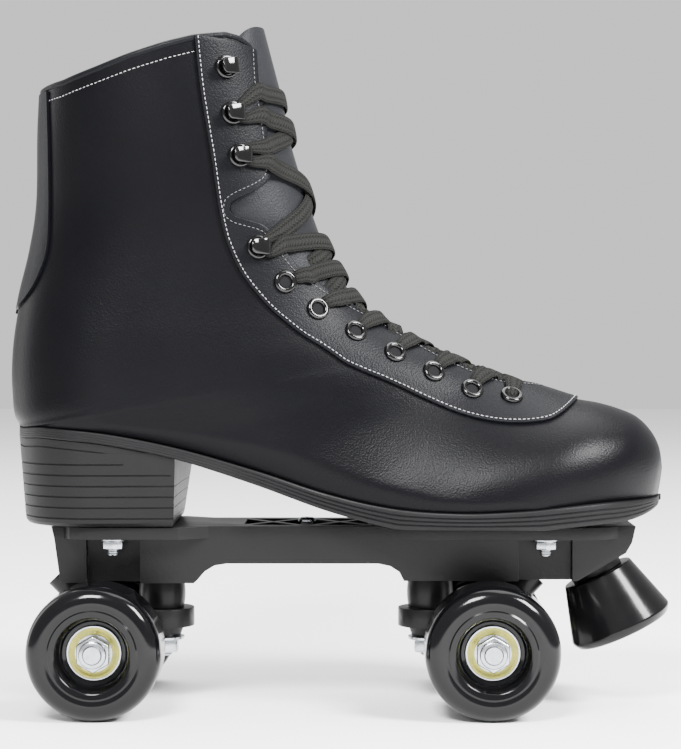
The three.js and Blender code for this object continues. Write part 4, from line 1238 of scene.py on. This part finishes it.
def trucks():
    for truck in TRUCKS:
        body = f"{truck}_truck"
        hanger = f"{truck}_hanger"
        settle(refined(hanger, 0.7), f"{truck}_yoke", truck_nylon, body, [hanger])
        x, y, z = middle_of(f"{truck}_axle")
        half = (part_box(f"{truck}_axle")[1].y) / MM
        axle = turned([(0, -half), (3.4, -half), (4, -half + 0.8), (4, half - 0.8), (3.4, half), (0, half)],
                      (x, y, z), (0, 1, 0), 40)
        settle(axle, f"{truck}_axle_rod", steel, body, [f"{truck}_axle"])
        for node, material, slot, bulge in ((f"{truck}_cushion_upper", cushion_rubber, "cushion", 0.6),
                                            (f"{truck}_cushion_lower", cushion_rubber, "cushion", 0.4)):
            cushion(node, material, bulge)
        low, high = (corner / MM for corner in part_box(f"{truck}_cushion_washer"))
        kx = (low.x + high.x) / 2
        washer = turned([(4.3, low.z), (8.6, low.z), (9.2, low.z + 0.4), (9.2, high.z), (4.3, high.z),
                         (4.3, low.z)],
                        (kx, 0, 0))
        settle(washer, f"{truck}_cup_washer", steel, "root", [f"{truck}_cushion_washer"])
        low, high = (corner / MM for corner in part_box(f"{truck}_kingpin"))
        pin = thread_rod(kx, 0, 0, (0, 0, 1), 4, low.z, high.z)
        settle(pin, f"{truck}_kingpin_bolt", steel, "root", [f"{truck}_kingpin"])
        low, high = (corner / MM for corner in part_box(f"{truck}_kingpin_nut"))
        nut = hexagon(13, high.z - low.z, (kx, 0, low.z), (0, 0, 1), 0.7)
        settle(nut, f"{truck}_lock_nut", steel, "root", [f"{truck}_kingpin_nut"])
        settle(refined(f"{truck}_pivot_cup", 0.3), f"{truck}_pivot_bush", cushion_rubber, "root",
               [f"{truck}_pivot_cup"])


def cushion(node, material, bulge):
    """A rubber ring turned round the kingpin."""
    low, high = (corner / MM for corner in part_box(node))
    x = (low.x + high.x) / 2
    radius = (high.x - low.x) / 2
    height = high.z - low.z
    steps = 8
    if "upper" in node:
        side = [(radius - 0.9 + bulge * math.sin(math.pi * i / steps), low.z + height * i / steps)
                for i in range(steps + 1)]
    else:
        side = [(radius - 1.6 + 1.4 * i / steps, low.z + height * i / steps) for i in range(steps + 1)]
    piece = turned([(4.4, low.z), *side, (4.4, high.z), (4.4, low.z)], (x, 0, 0))
    settle_blend(piece, node, material, low, high, x)


def settle_blend(piece, node, material, low, high, x):
    name = node.replace("cushion", "bushing")
    activate(piece)
    piece.name = name
    piece.data.name = name
    piece.data.materials.append(material)
    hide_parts(node)
    start, end = (x * MM, 0, high.z * MM), (x * MM, 0, low.z * MM)
    if "upper" not in node:
        start, end = end, start
    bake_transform(piece)


def plate_parts():
    settle(refined("plate", 1.5, 25, 4), "base_plate", nylon, replaces=["plate"])
    low, high = (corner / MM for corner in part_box("plate_screw"))
    x = (low.x + high.x) / 2
    screw = turned([(0, low.z), (1.8, low.z), (1.8, high.z - 1.9), (3.7, high.z - 1.9), (3.6, high.z - 1.2),
                    (2.6, high.z - 0.3), (0, high.z)], (x, 0, 0), steps=40)
    settle(screw, "arch_screw", steel, replaces=["plate_screw"])
    for end in TRUCKS:
        for word in SIDES:
            where = f"{end}_{word}"
            low, high = (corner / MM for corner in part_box(f"mount_bolt_{where}"))
            x, y = (low.x + high.x) / 2, (low.y + high.y) / 2
            bolt = thread_rod(x, y, 0, (0, 0, 1), 2.4, low.z, high.z - 2, 0.9)
            head = turned([(0, high.z - 2), (4.5, high.z - 2), (4, high.z - 0.6), (2, high.z), (0, high.z)],
                          (x, y, 0))
            settle(join([bolt, head]), f"bolt_{where}", steel, replaces=[f"mount_bolt_{where}"])
            low, high = (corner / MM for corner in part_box(f"mount_nut_{where}"))
            nut = hexagon(8, 3.2, (x, y, low.z), (0, 0, 1), 0.4)
            flange = turned([(2.6, high.z - 1.0), (4.9, high.z - 0.9), (5.3, high.z - 0.4), (5.3, high.z),
                             (2.6, high.z), (2.6, high.z - 1.0)], (x, y, 0))
            settle(join([nut, flange]), f"nut_{where}", steel, replaces=[f"mount_nut_{where}"])


def toe_stop():
    lean = 0.4345
    axis = (-math.sin(lean), 0, math.cos(lean))
    centre = (107.4, 0, 53.9)
    length = 26.5
    profile = [(4.5, 0), (14.2, 0), *arc(14.2, -0.8, 0.8, 90, 10, 4),
               *arc(19.9, -length + 3.4, 1.9, 14, -25, 6), *arc(18.7, -length + 2.2, 2.2, -35, -90, 5),
               (9, -length), (8, -length + 1.2), (8, -length + 11),
               (4.5, -length + 11), (4.5, 0)]
    piece = turned(profile, centre, axis, 96)
    settle(piece, "brake_pad", stop_rubber, replaces=["toe_stop"])
    head = hexagon(12, 6, Vector(centre) + Vector(axis) * (-length + 4.7), axis, 0.6)
    shank = turned([(0, -16), (4, -16), (4, 16), (0, 16)], centre, axis, 32)
    settle(join([head, shank]), "brake_bolt", steel, replaces=["toe_stop_bolt"])


def label():
    """A plain woven gold patch on the tongue."""
    rows, columns = 30, 11
    t = np.linspace(9.1, 11.6, rows)[:, None]
    w = np.linspace(-1, 1, columns)[None, :]
    q = w * 0.2
    piece = sheet(rows, columns, laid(t + 0 * w, q, np.full((rows, columns), -1.55)))
    face_outwards(piece, (-40, 0, 100))
    apply_modifier(piece, "SOLIDIFY", thickness=0.5 * MM, offset=-1)
    smooth(piece, 50)
    settle(piece, "tongue_patch", gold_weave)


def insole():
    settle(refined("insole", 0.8), "footbed", lining, replaces=["insole"])


add_camera()
add_studio()
add_floor()
boot_upper()
facing = eyestay()
pad = tongue()
back_strip()
collar_binding()
insole()
outsole()
heel_block()
fittings()
lace(facing, pad)
label()
stitches("facing_stitches", edge_route(facing_outer, 1.3, SKIN + 0.3), white_thread)
stitches("edge_stitches", edge_route(facing_edge, -2.6, SKIN + 0.3), grey_thread)
stitches("collar_stitches", [collar_rows(6.0, 0.12)], white_thread)
plate_parts()
trucks()
wheels()
toe_stop()
